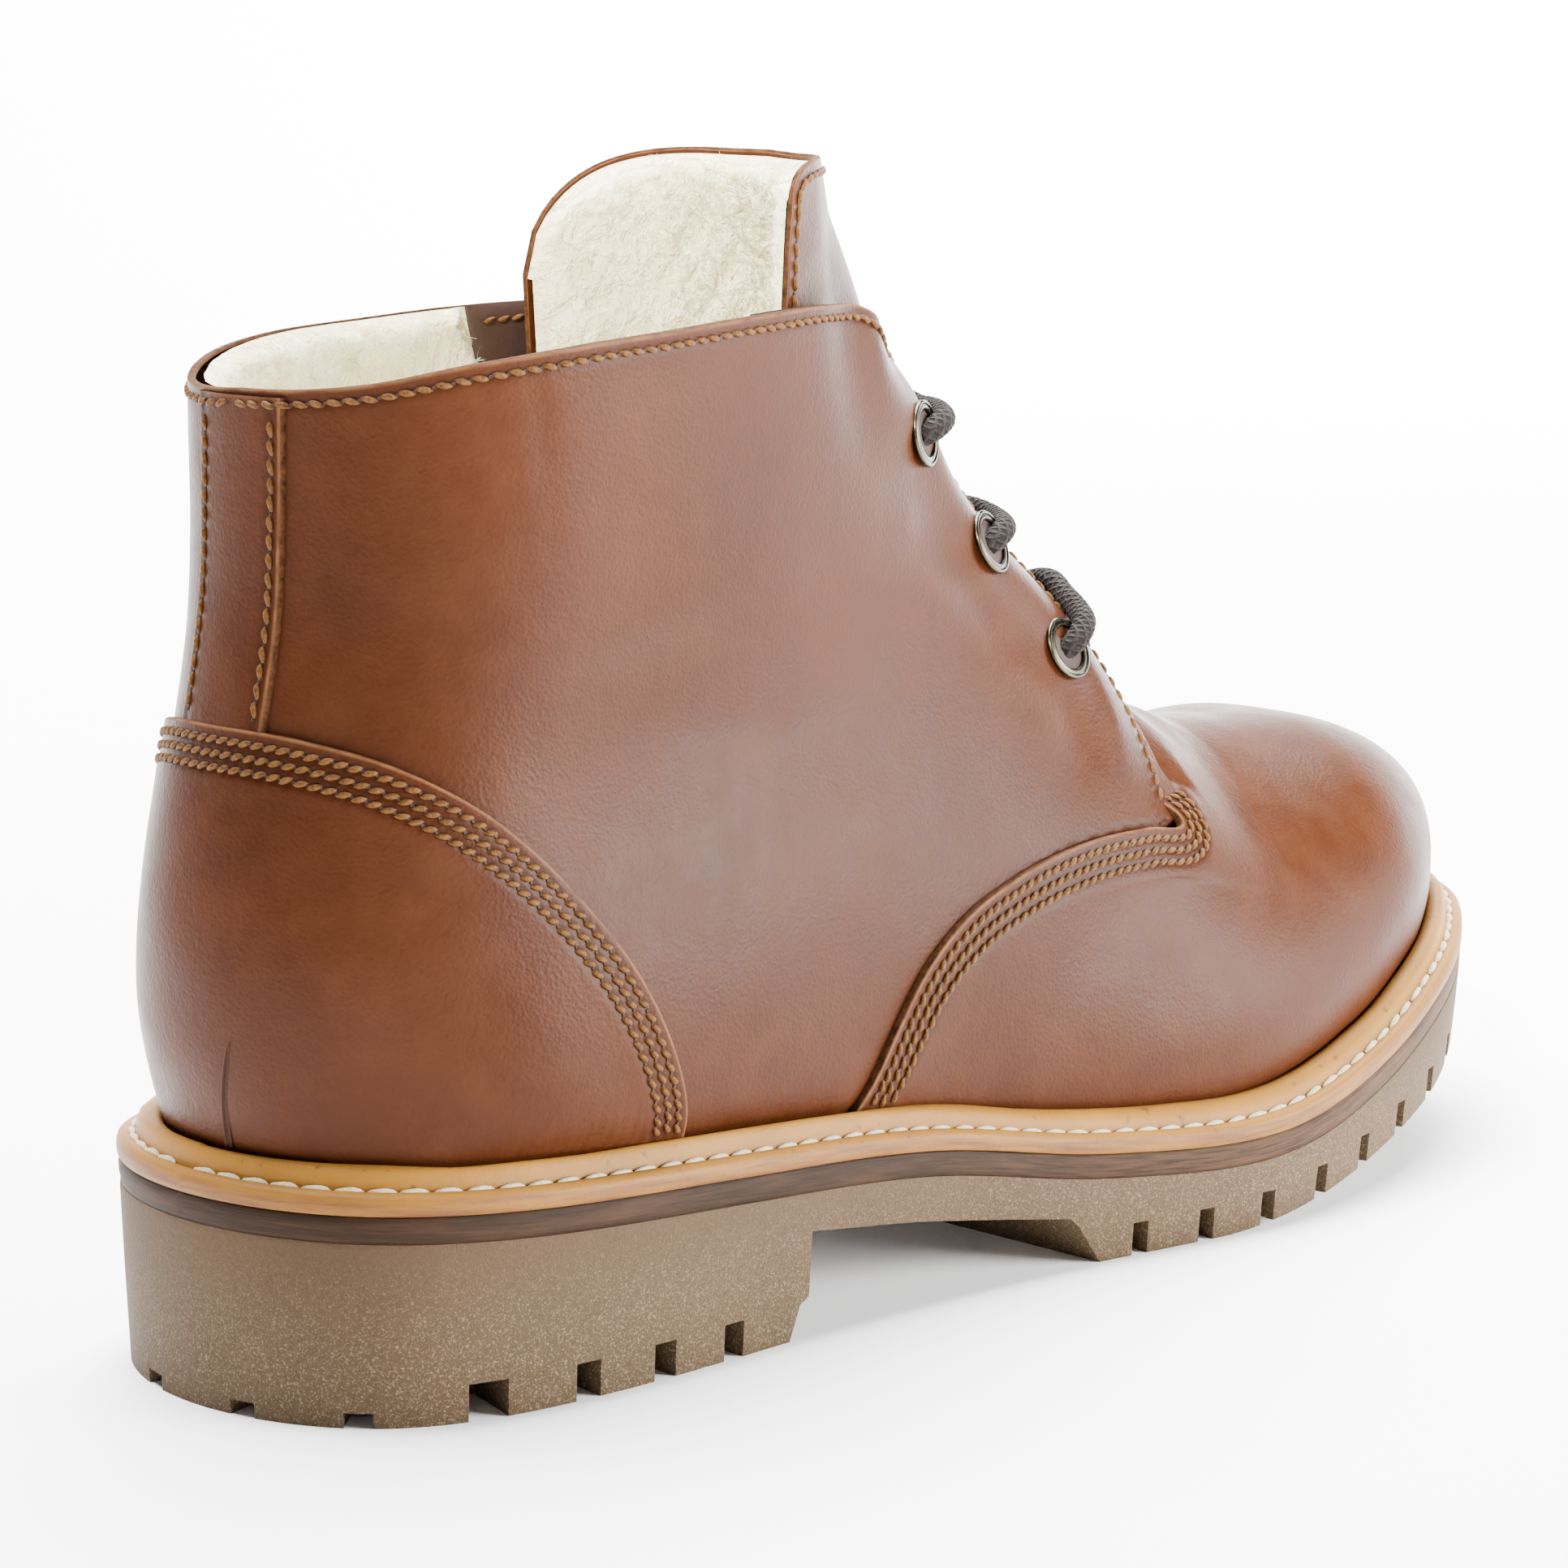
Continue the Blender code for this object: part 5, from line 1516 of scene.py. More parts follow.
        # Roughly the millimetres from each point to the sheet's nearest edge.
        edges = np.minimum(np.minimum(u * 40, (1 - u) * 30)[:, None], (1 - v)[None] * 90 + 0.15)
        depth = size["leather"] * 0.98 + 0.2 + 0.75 * np.sqrt(np.clip(edges / 0.9, 0, 1))
        grid = face + n * (swell(face) - depth)[..., None]
        cut = 1 - step_up(edges, 0.2, 1.0)
        # Marks for the raw edge and for painted shade along the sheet's edges; the lining's material reads
        # neither.
        grid_piece(f"facing_lining_{label}", grid, -n, "lining",
                   marks={"cut": cut, "painted_shade": 0.9 * cut})
        rows = Rows(f"lining_seam_{label}")
        line, out = grid[:, -3], -n[:, -3]
        rows.add(line + out * 0.05, out, size["edge_pitch"], size["thread"] * 0.9, 61 + side, 0.2)
        rows.build()

    def toe(self, size):
        """Fleece under the vamp, to close the inside of the toe: the vamp's face drawn in, and
        lowered with it toward the tongue."""
        lines = ruled(vamp_seam().beside(0.6), welt_line(vamp_foot(), 7.0), np.linspace(0, 1, 50))[:, ::3]
        n = normal(lines)
        between = step_up(42.0 - np.abs(lines[..., 1]), 0.0, 14.0)
        sink = 7.6 * step_up(lines @ ALONG, -98.0, -74.0) * between
        depth = size["leather"] + 2.6 + lumps(lines, 0.3) + sink + tuck(lines)
        grid = lines - n * depth[..., None]
        grid_piece("fleece_toe", grid, -n, "fleece", ("upper",))


class BOOT_OT_tongue(BootPiece, bpy.types.Operator):
    """The tongue: a leather sheet with a raw edge, and deep fleece on its back"""

    bl_idname = "boot.tongue"
    bl_label = "Tongue"

    # The sheet's share of the leather's thickness, and its points across and along.
    SHEET = 0.6
    COLUMNS = 101
    ROWS = 160

    def face(self, across, along):
        """The sheet's front: across goes from edge to edge and along from its foot to its level
        top, whose corners drop as a power of across."""
        size = np.abs(across)
        drop = np.where(across < 0, 2.0 * size + 5.0 * (1 - np.sqrt(1 - 0.995 * size**16)),
                        17.0 * (1 - np.sqrt(1 - 0.997 * size**9)))
        height = TONGUE_TOP - drop
        top_half = TONGUE["lateral"][-1]
        top = halve(lambda s: front_point(across * top_half, s)[..., 2] < height,
                    np.full_like(across, TONGUE_BOTTOM_S), np.full_like(across, 100.0))
        s = TONGUE_BOTTOM_S + along[:, None] * (top - TONGUE_BOTTOM_S)
        lateral = TONGUE.curve("s", "lateral")(s)
        medial = TONGUE.curve("s", "medial")(s)
        y = across * np.where(across < 0, lateral, medial)
        return front_point(y, s), y, s

    def execute(self, context):
        size = sizes()
        across = np.linspace(-1, 1, self.COLUMNS)
        along = np.linspace(0, 1, self.ROWS)
        face, y, s = self.face(across, along)
        n = normal(face)
        # How far it lies under the outer face: 7 mm, less toward the top, where it comes forward
        # between the facings and its middle leans back again.
        z = face[..., 2]
        gap = 1 - step_up(np.abs(y), 8.0, 24.0)
        middle = 7.0 - 5.8 * step_up(z, 147.0, 162.0) + 3.8 * step_up(z, 166.0, 188.0)
        wing = 7.0 - 3.6 * step_up(z, 148.0, 190.0)
        under = wing + (middle - wing) * gap
        under += 2.0 * (1 - step_up(s, -76.0, -58.0)) * gap
        front = face - n * (under - waves(face * 1.3) * 1.5)[..., None]
        self.shell(front, n, size)
        self.back(front, n, across, along, size)
        return {"FINISHED"}

    def shell(self, front, n, size):
        """The leather's front, and its edge as a half circle that ends in a flange behind it."""
        half = self.SHEET * size["leather"] / 2
        rim = np.concatenate([front[:, 0], front[-1, 1:-1], front[::-1, -1]])
        rim_n = np.concatenate([n[:, 0], n[-1, 1:-1], n[::-1, -1]])
        ahead = unit(np.gradient(rim, axis=0))
        away = unit(np.cross(ahead, rim_n))
        if np.sum(away[: len(front) // 2, 1]) > 0:
            away = -away
        turn = np.linspace(0, math.pi, 9)
        ring = (rim[None] - rim_n[None] * (half * (1 - np.cos(turn)))[:, None, None]
                + away[None] * (half * np.sin(turn) ** 0.8)[:, None, None])
        ring = np.concatenate([ring, ring[-1:] - away * 3.0])
        cut = np.zeros(ring.shape[:2])
        cut[2:8] = 1.0
        plain = np.zeros(front.shape[:2])
        grid_piece("tongue_leather", front, n, "leather", ("tongue",),
                   marks={"cut": plain, "painted_shade": plain})
        grid_piece("tongue_edge", ring, away, "leather", marks={"cut": cut, "painted_shade": 0 * cut})
        rows = Rows("tongue_seam")
        keep = rim[:, 2] > 118.0
        line = rim - away * 1.9 + rim_n * 0.06
        rows.add(line[keep], rim_n[keep], size["edge_pitch"], size["thread"] * 0.95, 81, 0.2)
        rows.build()

    def back(self, front, n, across, along, size):
        """The fleece: a cushion that rises from the sheet's back just inside its edge."""
        # Roughly the millimetres from each point to the sheet's sides or top.
        inside = np.minimum((1 - np.abs(across))[None, :] * 32.0, (1 - along)[:, None] * 150.0)
        puff = np.sqrt(1 - (1 - np.clip((inside - 0.4) / 3.4, 0, 1)) ** 2)
        sheet = self.SHEET * size["leather"]
        depth = sheet + 0.1 + 4.6 * puff + lumps(front, 0.42) * puff
        drawn_in = front + (front.mean(1, keepdims=True) - front) * 0.022
        grid = drawn_in - n * depth[..., None]
        grid[-1] = front[-1] - n[-1] * sheet - [0, 0, 0.5]
        grid_piece("tongue_fleece", grid, -n, "fleece", ("tongue",))
        tall = slice(len(along) // 3, None)
        deep = puff[tall] > 0.4
        tufts("tongue_fibres", grid[tall][deep], -n[tall][deep], size["pile"] * 0.55, 5)


class BOOT_OT_eyelets(BootPiece, bpy.types.Operator):
    """The eyelets: a turned flange with a rolled rim and a funnel into the hole"""

    bl_idname = "boot.eyelets"
    bl_label = "Eyelets"

    # Radius of the funnel's mouth and of the rolled rim, and how far round its middle the
    # leather is felt for.
    BORE = 3.6
    RIM = 0.42
    PROBE = 3.5

    def execute(self, context):
        profile = self.profile(sizes()["eyelet"] / 2)
        turn = turns(56)[:, None]
        # A flat disc of painted shade inside the ring, standing for the dark hole through the leather.
        disc = np.array([(0.05, 0.16), (1.5, 0.16), (self.BORE + 0.3, 0.16)])
        for side, label in SIDES:
            for pair, (s, half) in enumerate(EYELETS, 1):
                middle, out = self.seat(side * half, s)
                flat = unit(np.cross(out, ALONG))
                ring = np.cos(turn) * flat + np.sin(turn) * np.cross(flat, out)
                # The ring, and the disc of painted shade in its bore.
                for name, section, finish, nodes in (
                        ("ring", profile, "eyelet", (f"eyelet_{label}_{pair}",)),
                        ("hole", disc, "hole", ())):
                    grid = middle + section[:, :1, None] * ring[None] + section[:, 1:, None] * out
                    grid_piece(f"eyelet_{name}_{label}_{pair}", grid, out + ring * 0.1, finish, nodes,
                               wrap=True, slot=SLOTS["eyelet"])
        return {"FINISHED"}

    def profile(self, big):
        """The turned section from its outer edge inward, as radius and height: a rolled rim, a
        shallow dish and a funnel."""
        t = np.linspace(0, 1, 8)
        turn = np.linspace(-0.6, math.pi * 0.8, 9)
        rim = (big - self.RIM + self.RIM * np.cos(turn), 0.30 + 0.46 * np.sin(turn))
        dish = (big - 0.8 - (big - 1.1 - self.BORE) * t, 0.55 + 0.16 * np.sin(t * 3.0))
        funnel = (self.BORE + 0.3 * (1 - t) ** 2, 0.45 - 3.6 * t)
        return np.concatenate([[(big - 0.3, -0.25)]] + [np.stack(part, 1) for part in (rim, dish, funnel)])

    def seat(self, y, s):
        """The leather's face at an eyelet and its outward direction, from four points round it."""
        step = self.PROBE
        face, _ = raised(front_point(y + np.array([0, -step, step, 0, 0]),
                                     s + np.array([0, 0, 0, -step, step])), 0.0)
        out = unit(np.cross(face[2] - face[1], face[4] - face[3]))
        return face[0], out * np.sign(out @ EYE)


class BOOT_OT_laces(BootPiece, bpy.types.Operator):
    """The lace: out of each eyelet, over its facing's edge, under the far one to the next"""

    bl_idname = "boot.laces"
    bl_label = "Laces"

    # From an eyelet to the next one up on the far side: how far across (from the lace's own
    # side to the far one), how far up, how far out from the leather.
    RUN = Table(
        "across up out",
        (-20.0, 0.0, -6.0), (-20.0, 0.0, -2.5), (-19.8, -0.2, 0.6), (-18.2, -1.3, 2.2),
        (-15.0, -3.4, 2.4), (-12.0, -4.9, 2.2), (-9.6, -5.5, 1.6), (-7.2, -5.0, 0.0),
        (-4.0, -2.0, -2.6), (0.0, 3.0, -4.6), (5.0, 10.0, -4.8), (9.0, 15.6, -5.2),
        (13.5, 21.4, -5.6), (18.0, 26.6, -5.8), (20.0, 28.6, -6.0),
    )
    WIDE = RUN["across"][-1]
    CLIMB = RUN["up"][-1]
    # The middle of the top run, and one end of the hidden bar below; both stay level.
    TOP_MIDDLE = ((-3.0, -4.8, -0.6), (3.0, -4.8, -0.6))
    BOTTOM_END = ((-20.0, 0.0, -2.0), (-19.6, 0.0, -4.4))
    BOTTOM_CLIMB = 4.6
    OVER = 3.3
    FLIP = np.array([-1.0, 1.0, 1.0])
    # Spacing of the cord's rings, and its strands: how many, and their slant per millimetre.
    RING_STEP = 0.36
    STRANDS = 6
    SLANT = 4.4

    def path(self, side, first, last, rows):
        """The lace's middle line from one pair of eyelets to another, stretched to reach both."""
        across, up, out = rows.T
        (start_s, start_half), (end_s, end_half) = EYELETS[first], EYELETS[last]
        wide = np.interp(across, (-self.WIDE, self.WIDE), (start_half, end_half))
        if last > first:
            up = up + (end_s - start_s - self.CLIMB) * step_up(across, 0.0, self.WIDE)
        at = front_point(-side * across * wide / self.WIDE, start_s + up)
        over = swell(at) * step_up(out, -1.0, 1.0)
        return at + normal(at) * (out + over)[:, None]

    def execute(self, context):
        radius = sizes()["lace"] / 2
        y = np.linspace(-18, 18, 9)
        bar = np.column_stack([y, 0 * y, -5.2 + 1.4 * (1 - (y / self.WIDE) ** 2)])
        end = np.array(self.BOTTOM_END)
        bottom = np.vstack([end, bar, end[::-1] * self.FLIP])
        self.tube("lace_bar", self.path(1, 0, 0, bottom), radius, ())
        for pair in (1, 2):
            for side, label in SIDES:
                rows = self.RUN.rows.copy()
                if pair == 1:
                    rows[:, 1] += self.BOTTOM_CLIMB * np.exp(-((rows[:, 0] + 9.5) / 5.0) ** 2)
                if side > 0:
                    rows[:, 2] += self.OVER * np.exp(-((rows[:, 0] + 0.5) / 5.0) ** 2)
                self.tube(f"lace_{label}_{pair}", self.path(side, pair - 1, pair, rows), radius,
                          (f"lace_crossing_{pair}",))
        near = self.RUN.rows[:8]
        rows = np.vstack([near, self.TOP_MIDDLE, near[::-1] * self.FLIP])
        self.tube("lace_top", self.path(-1, 2, 2, rows), radius, ("lace_crossing_3",))
        return {"FINISHED"}

    def tube(self, name, path, radius, nodes):
        """A round cord along a path. Its radius is waved by two sets of slanting strands, the
        higher of two sines, and it is drawn in at its ends."""
        fine = resample(path, max(int(run_of(path)[-1] / self.RING_STEP), 20))
        ahead = unit(np.gradient(fine, axis=0))
        up = unit(np.cross(ahead, np.array([0.3, 0.1, 1.0])))
        over = np.cross(ahead, up)
        v = turns(36)
        run = run_of(fine)[:, None]
        slant = run * self.SLANT
        braid = np.maximum(np.sin(slant + self.STRANDS * v), np.sin(slant - self.STRANDS * v))
        r = radius * (0.955 + 0.05 * braid)
        r = r * (1 - 0.25 * (np.abs(np.linspace(-1, 1, len(fine)))[:, None] > 0.995))
        ring = np.cos(v)[None, :, None] * up[:, None] + np.sin(v)[None, :, None] * over[:, None]
        grid = fine[:, None] + r[..., None] * ring
        uv = np.stack(np.broadcast_arrays(run * MM, v[None, :] / (2 * math.pi)), -1)
        grid_piece(name, grid, ring, "lace", nodes, wrap=True, uv=uv)


class BOOT_OT_seams(BootPiece, bpy.types.Operator):
    """All seams of the upper: rows of twisted thread and their needle holes"""

    bl_idname = "boot.seams"
    bl_label = "Seams"

    # How deep the thread sits, how far above the midsole a row stops, how far sunk a panel
    # hides it, the fewest points of a row, and the back strip's rows from the middle line.
    SET_IN = 0.02
    WELT_CLEAR = 7.4
    HIDDEN_BELOW = 2.4
    FEWEST = 12
    STRIP_SEAM = 7.6

    def execute(self, context):
        size = sizes()
        self.triple("counter_seam", counter_seam(), 11, counter_sink, size)
        self.triple("vamp_seam", vamp_seam(), 21, vamp_sink, size)
        self.single(size)
        return {"FINISHED"}

    def triple(self, name, seam, seed, sink, size):
        """Three rows beside a cut edge, on the raised panel, left out above the welt and where
        the panel has sunk under the facings."""
        rows = Rows(name)
        for k, distance in enumerate(seam_rows(size)):
            line = seam.beside(distance)
            at = np.full((1, len(line)), distance)
            sunk = sink(at, line[None])[0]
            face, n = raised(line, overlay_lift(at)[0] - sunk - self.SET_IN)
            shown = (line[:, 2] > TOP(line[:, 0]) + self.WELT_CLEAR) & (sunk < self.HIDDEN_BELOW)
            breaks = np.flatnonzero(np.diff(shown.astype(int))) + 1
            for part in np.split(np.arange(len(line)), breaks):
                if shown[part[0]] and len(part) > self.FEWEST:
                    rows.add(face[part], n[part], size["seam_pitch"], size["thread"] * 0.93,
                             seed + k, 0.42, 1.1)
        rows.build()

    def single(self, size):
        """One row along each facing and the collar, and one down each edge of the back strip."""
        rows = Rows("collar_seam")
        for side, _ in SIDES:
            seam = facing_seam(side)
            inset = size["collar_inset"] + 0.9 * (1 - step_up(run_of(seam.at), 95.0, 115.0))
            line = seam.beside(inset[:, None])
            on_strip = (line[:, 0] < 60) * (1 - step_up(np.abs(line[:, 1]), 9.0, 9.9))
            face, n = raised(line, 1.1 * on_strip - self.SET_IN)
            keep = run_of(line) > 3.0
            rows.add(face[keep], n[keep], size["edge_pitch"], size["thread"], 31 + side, 0.3 * side)
        for y, seed in ((-self.STRIP_SEAM, 33), (self.STRIP_SEAM, 48)):
            face, n = raised(back_point(y, np.linspace(150.5, 105.5, 60)), 1.0)
            rows.add(face, n, size["edge_pitch"], size["thread"], seed, 0.2)
        rows.build()


class BOOT_OT_welt(BootPiece, bpy.types.Operator):
    """The welt: a ledge with a soft bead against the upper, stitched in a groove"""

    bl_idname = "boot.welt"
    bl_label = "Welt"

    # Which edge each point is measured from (outline, or the upper's foot), how far in, how
    # high, and how burnished it is.
    SECTION = (
        ("edge", 4.0, -0.2, 1.0), ("edge", 0.25, -0.2, 1.0), ("edge", 0.1, 0.2, 1.0),
        ("edge", 0.05, 1.0, 1.0), ("edge", 0.1, 1.9, 0.9), ("edge", 0.3, 2.5, 0.5),
        ("edge", 0.75, 2.95, 0.15), ("edge", 1.4, 3.2, 0.0), ("edge", 2.0, 3.2, 0.0),
        ("foot", -7.4, 3.1, 0.0), ("foot", -7.0, 2.8, 0.1), ("foot", -6.4, 2.35, 0.35),
        ("foot", -5.9, 2.5, 0.3), ("foot", -5.4, 3.3, 0.05), ("foot", -4.8, 4.4, 0.0),
        ("foot", -3.9, 5.5, 0.0), ("foot", -2.9, 6.2, 0.0), ("foot", -1.9, 6.5, 0.0),
        ("foot", -1.0, 6.45, 0.05), ("foot", -0.35, 6.0, 0.2), ("foot", 0.1, 5.2, 0.5),
        ("foot", 0.4, 3.6, 0.6),
    )

    def execute(self, context):
        t = stations(360)
        foot = welt_depth(t, 6.0) - 0.15
        start = {"edge": np.zeros_like(t), "foot": foot}
        rng = np.random.default_rng(8)
        sway = np.interp(np.arange(len(t)), np.linspace(0, len(t), 61), rng.normal(0, 0.10, 61))
        rings, burnish = [], []
        for edge, inward, rise, mark in self.SECTION:
            depth = start[edge] + inward
            if edge == "foot":
                depth = np.maximum(depth, 2.2 + 0.4 * (inward + 7.4))
            flat, _ = outline(t, depth)
            lift = sway * (rise > 3.3)
            rings.append(np.column_stack([flat, TOP(flat[:, 0]) + GAP + rise + lift]))
            burnish.append(np.full(len(t), mark))
        grid = np.array(rings)
        out = np.concatenate([outline(t)[1] * -1, np.zeros((len(t), 1))], 1)[None] + [0, 0, 0.8]
        grid_piece("welt_leather", grid, out, "welt", ("welt",), wrap=True,
                   marks={"burnish": burnish})
        self.seam(t, foot)
        return {"FINISHED"}

    def seam(self, t, foot):
        """A row of long stitches in the groove, leaning a little outward."""
        rows = Rows("welt_seam", "welt_thread")
        depth = np.maximum(foot - 6.45, 2.6)
        flat, inward = outline(t, depth)
        line = np.column_stack([flat, TOP(flat[:, 0]) + GAP + 2.95])
        line = np.vstack([line, line[:1]])
        out = np.column_stack([-inward * 0.25, np.ones(len(t))])
        out = unit(np.vstack([out, out[:1]]))
        rows.add(line, out, sizes()["welt_pitch"], 1.2, 71, 0.05, 1.04, high=1.15)
        rows.build()


class BOOT_OT_sole(BootPiece, bpy.types.Operator):
    """The dark midsole board and the rubber sole with its heel block, slots and grooves"""

    bl_idname = "boot.sole"
    bl_label = "Sole"

    # The board's section, as distance inside the outline and height over its top.
    BAND = ((9.0, 0.0), (0.75, 0.0), (0.45, -0.35), (0.32, -1.3), (0.34, -2.4), (0.5, -3.4),
            (0.62, -4.25), (9.0, -4.25))
    # The rubber's edge, as distance inside the outline and share of the height.
    EDGE = ((0.55, 1.0), (0.45, 0.97), (0.9, 0.5), (1.5, 0.0))

    def execute(self, context):
        self.midsole()
        self.outsole()
        self.insole()
        return {"FINISHED"}

    def midsole(self):
        """A band whose section bulges slightly, closed above and below."""
        t = stations(300)
        rings = []
        for inset, rise in self.BAND:
            flat, inward = outline(t, inset)
            rings.append(np.column_stack([flat, TOP(flat[:, 0]) + rise]))
        grid = np.array(rings)
        out = np.column_stack([-outline(t)[1], np.zeros(len(t))])
        grid_piece("midsole_board", grid, out, "midsole", ("midsole",), wrap=True)

    def plate(self, t):
        """The rubber before it is cut: outlines between the ground and the midsole."""
        levels = []
        for inset, high in self.EDGE:
            flat, _ = outline(t, inset)
            top = TOP(flat[:, 0]) - MIDSOLE_THICK - GAP
            low = ground(flat[:, 0])
            levels.append(np.column_stack([flat, low + (top - low) * high]))
        return levels

    def outsole(self):
        """A plate whose top and bottom are strips from side to side, less the arch, the slots and
        the grooves."""
        t = stations(170)
        levels = self.plate(t)
        count = len(t)
        half = count // 2
        points = np.concatenate(levels)
        faces = grid_faces(len(levels), count, True).tolist()
        for base, flip in ((0, False), ((len(levels) - 1) * count, True)):
            for k in range(half):
                face = [k, k + 1, (count - k - 1) % count, (count - k) % count]
                face = list(dict.fromkeys(face))
                if len(face) > 2:
                    faces.append([base + i for i in (face[::-1] if flip else face)])
        sole = add_object("rubber_sole", points, faces, "rubber", ("outsole",))
        face_outward(sole.data)
        toe_run = at_distance(1.0)[2] - TOE_CLEAR - TOE_SLOT_FIRST
        toe = [TOE_SLOT_FIRST + k * TOE_SLOT_PITCH for k in range(int(toe_run / TOE_SLOT_PITCH) + 1)]
        slots = [(distance, width, HEEL_SLOT_HEIGHT) for distance, width in HEEL_SLOTS]
        slots += [(distance, TOE_SLOT_WIDTH, TOE_SLOT_HEIGHT) for distance in toe]
        boxes = [self.slot(side * distance, width, height, SLOT_LENGTH)
                 for distance, width, height in slots for side in (1, -1)]
        boxes += [self.slot(distance, BACK_NOTCH_WIDTH, BACK_NOTCH_HEIGHT, BACK_NOTCH_LENGTH)
                  for distance in BACK_NOTCHES]
        grooves = [self.groove(distance) for distance, _ in HEEL_SLOTS[1:]]
        grooves += [self.groove(distance) for distance in toe[:TOE_GROOVES]]
        cutters = [
            self.cutter("arch_cut", *self.prism(ARCH)),
            self.cutter("slot_cut", *joined(boxes)),
            self.cutter("groove_cut", *joined(grooves)),
        ]
        for cutter in cutters:
            step = sole.modifiers.new("Cut", "BOOLEAN")
            step.operation = "DIFFERENCE"
            step.solver = "EXACT"
            step.object = cutter
        self.round_off(sole)
        for cutter in cutters:
            bpy.data.objects.remove(cutter, do_unlink=True)

    def round_off(self, sole):
        """Takes the cuts into the mesh, then rounds its sharp edges a little."""
        soft = sole.modifiers.new("Round", "BEVEL")
        soft.width = 0.00055
        soft.segments = 2
        soft.limit_method = "ANGLE"
        soft.angle_limit = math.radians(32)
        soft.use_clamp_overlap = True
        bpy.context.view_layer.update()
        ready = sole.evaluated_get(bpy.context.evaluated_depsgraph_get())
        mesh = bpy.data.meshes.new_from_object(ready)
        sole.modifiers.clear()
        sole.data = mesh
        shape = bmesh.new()
        shape.from_mesh(mesh)
        bmesh.ops.remove_doubles(shape, verts=shape.verts, dist=1e-6)
        for edge in shape.edges:
            edge.smooth = len(edge.link_faces) == 2 and edge.calc_face_angle(0) < math.radians(28)
        for face in shape.faces:
            face.smooth = True
        shape.to_mesh(mesh)
        shape.free()

    def box(self, center, size, inward):
        """Eight corners of a block whose first side points inward."""
        ahead = np.array([inward[0], inward[1], 0.0])
        across = np.array([-inward[1], inward[0], 0.0])
        up = np.array([0.0, 0.0, 1.0])
        ends = (-0.5, 0.5)
        corners = [np.asarray(center) + ahead * i * size[0] + across * j * size[1] + up * k * size[2]
                   for i in ends for j in ends for k in ends]
        faces = [(0, 1, 3, 2), (4, 6, 7, 5), (0, 4, 5, 1), (2, 3, 7, 6), (0, 2, 6, 4), (1, 5, 7, 3)]
        return np.array(corners), faces

    def slot(self, distance, width, height, long):
        """A block across the sole's edge, from under the ground up to a height."""
        edge, inward, _ = at_distance(distance)
        flat = edge + inward * (long - CUT_OUTSIDE) / 2
        floor = float(ground(edge[0] + inward[0] * long / 2))
        center = (flat[0], flat[1], floor + (height - CUT_UNDER) / 2)
        return self.box(center, (long + CUT_OUTSIDE, width, height + CUT_UNDER), inward)

    def groove(self, distance):
        """A block under the sole that joins two facing slots."""
        ends = []
        for side in (1, -1):
            edge, inward, _ = at_distance(side * distance)
            ends.append(edge + inward * (SLOT_LENGTH - 1.5))
        middle = (ends[0] + ends[1]) / 2
        long = float(np.linalg.norm(ends[1] - ends[0]))
        center = (middle[0], middle[1], float(ground(middle[0])) + (GROOVE_HEIGHT - CUT_UNDER) / 2)
        return self.box(center, (long, GROOVE_WIDTH, GROOVE_HEIGHT + CUT_UNDER),
                        (ends[1] - ends[0]) / long)

    def prism(self, rows):
        """A side view carried across the boot."""
        count = len(rows)
        points = [(x, y, z) for y in (-CUT_SIDE, CUT_SIDE) for x, z in rows]
        faces = [tuple(range(count)), tuple(range(2 * count - 1, count - 1, -1))]
        faces += [(k, (k + 1) % count, count + (k + 1) % count, count + k) for k in range(count)]
        return np.array(points), faces

    def cutter(self, name, points, faces):
        """Closed solids that are only there to be cut out of the rubber."""
        made = new_object(name, new_mesh(name, place(points), faces, materials().rubber))
        face_outward(made.data)
        made.hide_render = True
        return made

    def insole(self):
        """The footbed's fleece: a plate ruled from side to side inside the upper, rounded down at
        its edge."""
        t = stations(110)
        half = len(t) // 2
        inset = welt_depth(t, 7.0) + WALL + 0.4
        edge, _ = outline(t, inset)
        left = edge[: half + 1]
        right = np.vstack([edge[:1], edge[: half - 1:-1]])
        f = np.linspace(0, 1, 50)[:, None, None]
        flat = left[None] + (right[None] - left[None]) * f
        side = 1 - np.abs(2 * f[..., 0] - 1)
        z = TOP(flat[..., 0]) + GAP + 3.9 + 1.2 * np.sqrt(np.clip(side / 0.12, 0, 1))
        grid = np.concatenate([flat, z[..., None]], -1)
        grid[..., 2] += lumps(grid, 0.3)
        grid_piece("insole_fleece", grid, [0, 0, 1], "fleece", ("insole",))


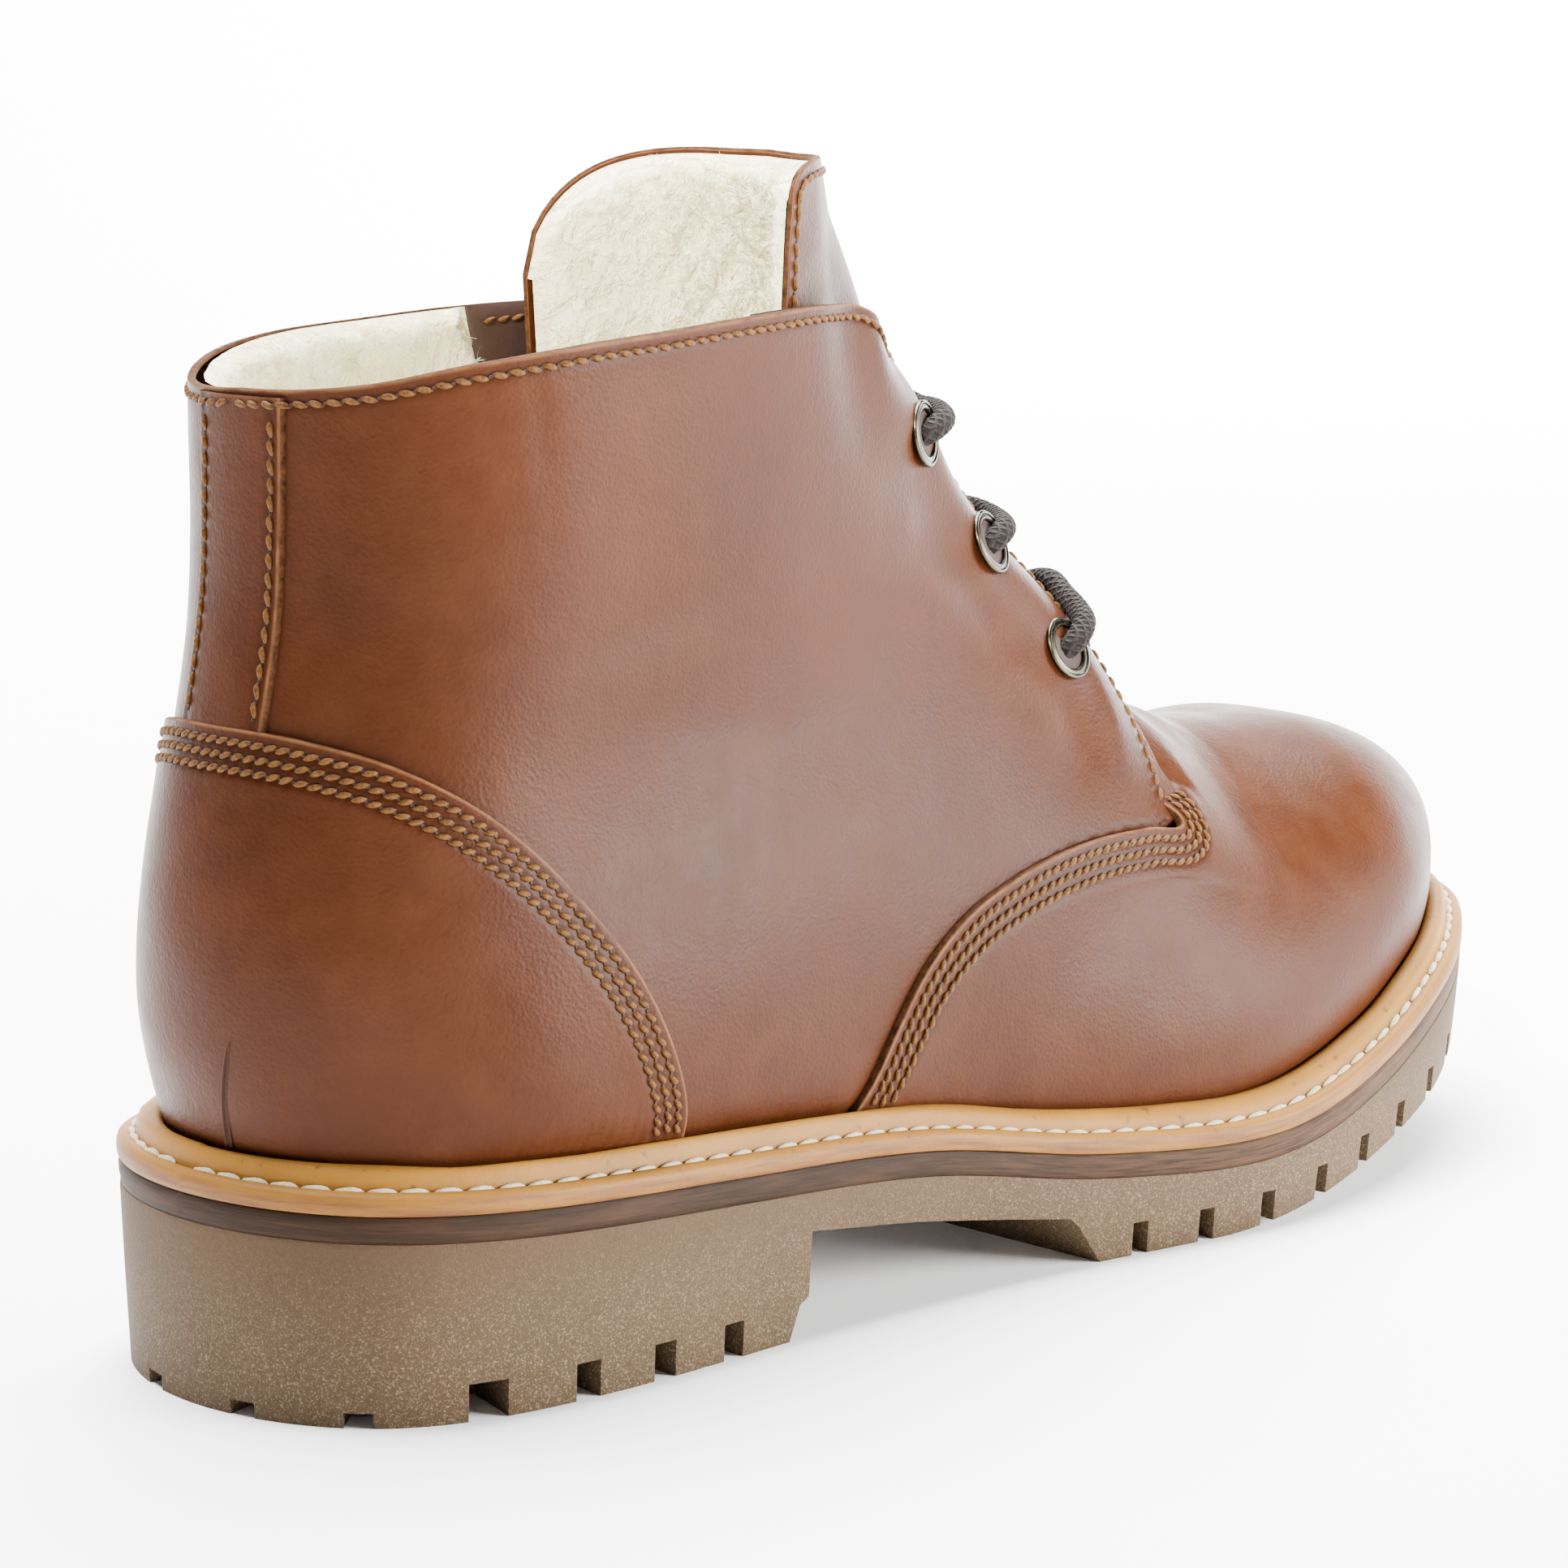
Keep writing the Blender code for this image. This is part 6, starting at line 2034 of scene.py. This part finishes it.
class BOOT_OT_stage(BootPiece, bpy.types.Operator):
    """Pale floor, soft lights and the camera"""

    bl_idname = "boot.stage"
    bl_label = "Floor, lights and camera"

    # The camera's place and the point it looks at, in the boot's own millimetres.
    CAMERA_AT = (-418.7, -541.5, 217.9)
    LOOK_AT = (138.0, 7.4, 78.0)
    LENS = 106.0
    # Places and sizes in metres, power in watts, spread in degrees.
    LAMP_COLUMNS = ("name", "at", "to", "size", "power", "spread")
    LAMPS = (
        ("top", (0.05, 0.30, 1.40), (0, 0, 0.08), (1.2, 0.8), 184.0, 180.0),
        ("key", (0.70, -1.06, 0.33), (0, 0, 0.08), (0.8, 0.5), 86.0, 180.0),
        ("tongue", (-0.95, -0.40, 0.90), (0.0, 0, 0.185), (0.12, 0.12), 0.40, 7.5),
        ("backdrop", (1.5, 1.05, 2.0), (2.4, 1.7, 0.3), (1.8, 1.6), 780.0, 180.0),
    )
    WORLD = 0.05
    FLOOR_RINGS = (0.002, 0.7, 1.4, 2.0)
    WALL_AT = 2.2
    WALL_ROUND = 0.8

    def execute(self, context):
        scene = context.scene
        self.floor(scene)
        camera = bpy.data.cameras.new("camera")
        camera.lens = self.LENS
        camera.sensor_width = 36.0
        camera.clip_start = 0.01
        scene.camera = new_object("camera", camera)
        self.aim(scene.camera, place(self.CAMERA_AT), place(self.LOOK_AT))
        world = bpy.data.worlds.new("studio")
        world.use_nodes = True
        background = world.node_tree.nodes["Background"]
        background.inputs["Color"].default_value = (1, 1, 1, 1)
        background.inputs["Strength"].default_value = self.WORLD
        scene.world = world
        for row in self.LAMPS:
            lamp = dict(zip(self.LAMP_COLUMNS, row))
            light = bpy.data.lights.new(lamp["name"], "AREA")
            light.shape = "RECTANGLE"
            light.spread = math.radians(lamp["spread"])
            light.size, light.size_y = lamp["size"]
            light.energy = lamp["power"]
            made = new_object(lamp["name"], light)
            self.aim(made, lamp["at"], lamp["to"])
        return {"FINISHED"}

    def aim(self, made, at, to):
        """Puts a camera or a lamp at a place and turns it toward another."""
        made.location = Vector(at)
        made.rotation_euler = (Vector(to) - Vector(at)).to_track_quat("-Z", "Y").to_euler()

    def floor(self, scene):
        """A wide round floor that turns up as a quarter circle into a wall all the way round."""
        turn = turns(96)
        bend = np.linspace(0, math.pi / 2, 13)
        radius = np.concatenate([self.FLOOR_RINGS, self.WALL_AT + self.WALL_ROUND * np.sin(bend)])
        level = [0.0] * len(self.FLOOR_RINGS)
        high = np.concatenate([level, self.WALL_ROUND - self.WALL_ROUND * np.cos(bend)])
        ring = np.stack([np.cos(turn), np.sin(turn)], -1)
        flat = radius[:, None, None] * ring[None]
        verts = np.concatenate([flat, np.broadcast_to(high[:, None, None], flat.shape[:2] + (1,))], -1)
        faces = grid_faces(len(radius), len(turn), True)[:, ::-1].tolist()
        faces.append(list(range(len(turn))))
        t = Tree("floor")
        tint = scene.boot_colors.floor
        color = t.mix(t.noise(t.place(), 3.0), rgba(tint, 0.995), rgba(tint))
        plain = t.finish(Base_Color=color, Roughness=0.9, Specular_IOR_Level=0.2)
        new_object("floor", new_mesh("floor", verts.reshape(-1, 3), faces, plain))


class BOOT_PT_panel(bpy.types.Panel):
    """The boot's sizes, colours and pieces"""

    bl_idname = "BOOT_PT_panel"
    bl_label = "Lace-up Ankle Boot"
    bl_space_type = "VIEW_3D"
    bl_region_type = "UI"
    bl_category = "Boot"

    def draw(self, context):
        """Every size and colour, then a button for each piece."""
        for group in (context.scene.boot_sizes, context.scene.boot_colors):
            box = self.layout.box()
            for key in type(group).__annotations__:
                box.prop(group, key)
        for piece in PIECES:
            self.layout.operator(piece.bl_idname)


PIECES = (
    BOOT_OT_quarters, BOOT_OT_vamp, BOOT_OT_counter, BOOT_OT_lining, BOOT_OT_tongue,
    BOOT_OT_eyelets, BOOT_OT_laces, BOOT_OT_seams, BOOT_OT_welt, BOOT_OT_sole, BOOT_OT_stage,
)
CLASSES = (BootColors, BootSizes) + PIECES + (BOOT_PT_panel,)


def register():
    """Makes the classes and the scene's settings known."""
    for each in CLASSES:
        bpy.utils.register_class(each)
    bpy.types.Scene.boot_colors = bpy.props.PointerProperty(type=BootColors)
    bpy.types.Scene.boot_sizes = bpy.props.PointerProperty(type=BootSizes)


def unregister():
    """Takes away what register adds."""
    del bpy.types.Scene.boot_sizes
    del bpy.types.Scene.boot_colors
    for each in reversed(CLASSES):
        bpy.utils.unregister_class(each)


def main():
    """Builds every piece and the stage."""
    register()
    bpy.ops.boot.quarters()
    bpy.ops.boot.vamp()
    bpy.ops.boot.counter()
    bpy.ops.boot.lining()
    bpy.ops.boot.tongue()
    bpy.ops.boot.eyelets()
    bpy.ops.boot.laces()
    bpy.ops.boot.seams()
    bpy.ops.boot.welt()
    bpy.ops.boot.sole()
    bpy.ops.boot.stage()
    bpy.context.view_layer.update()


if __name__ == "__main__":
    main()
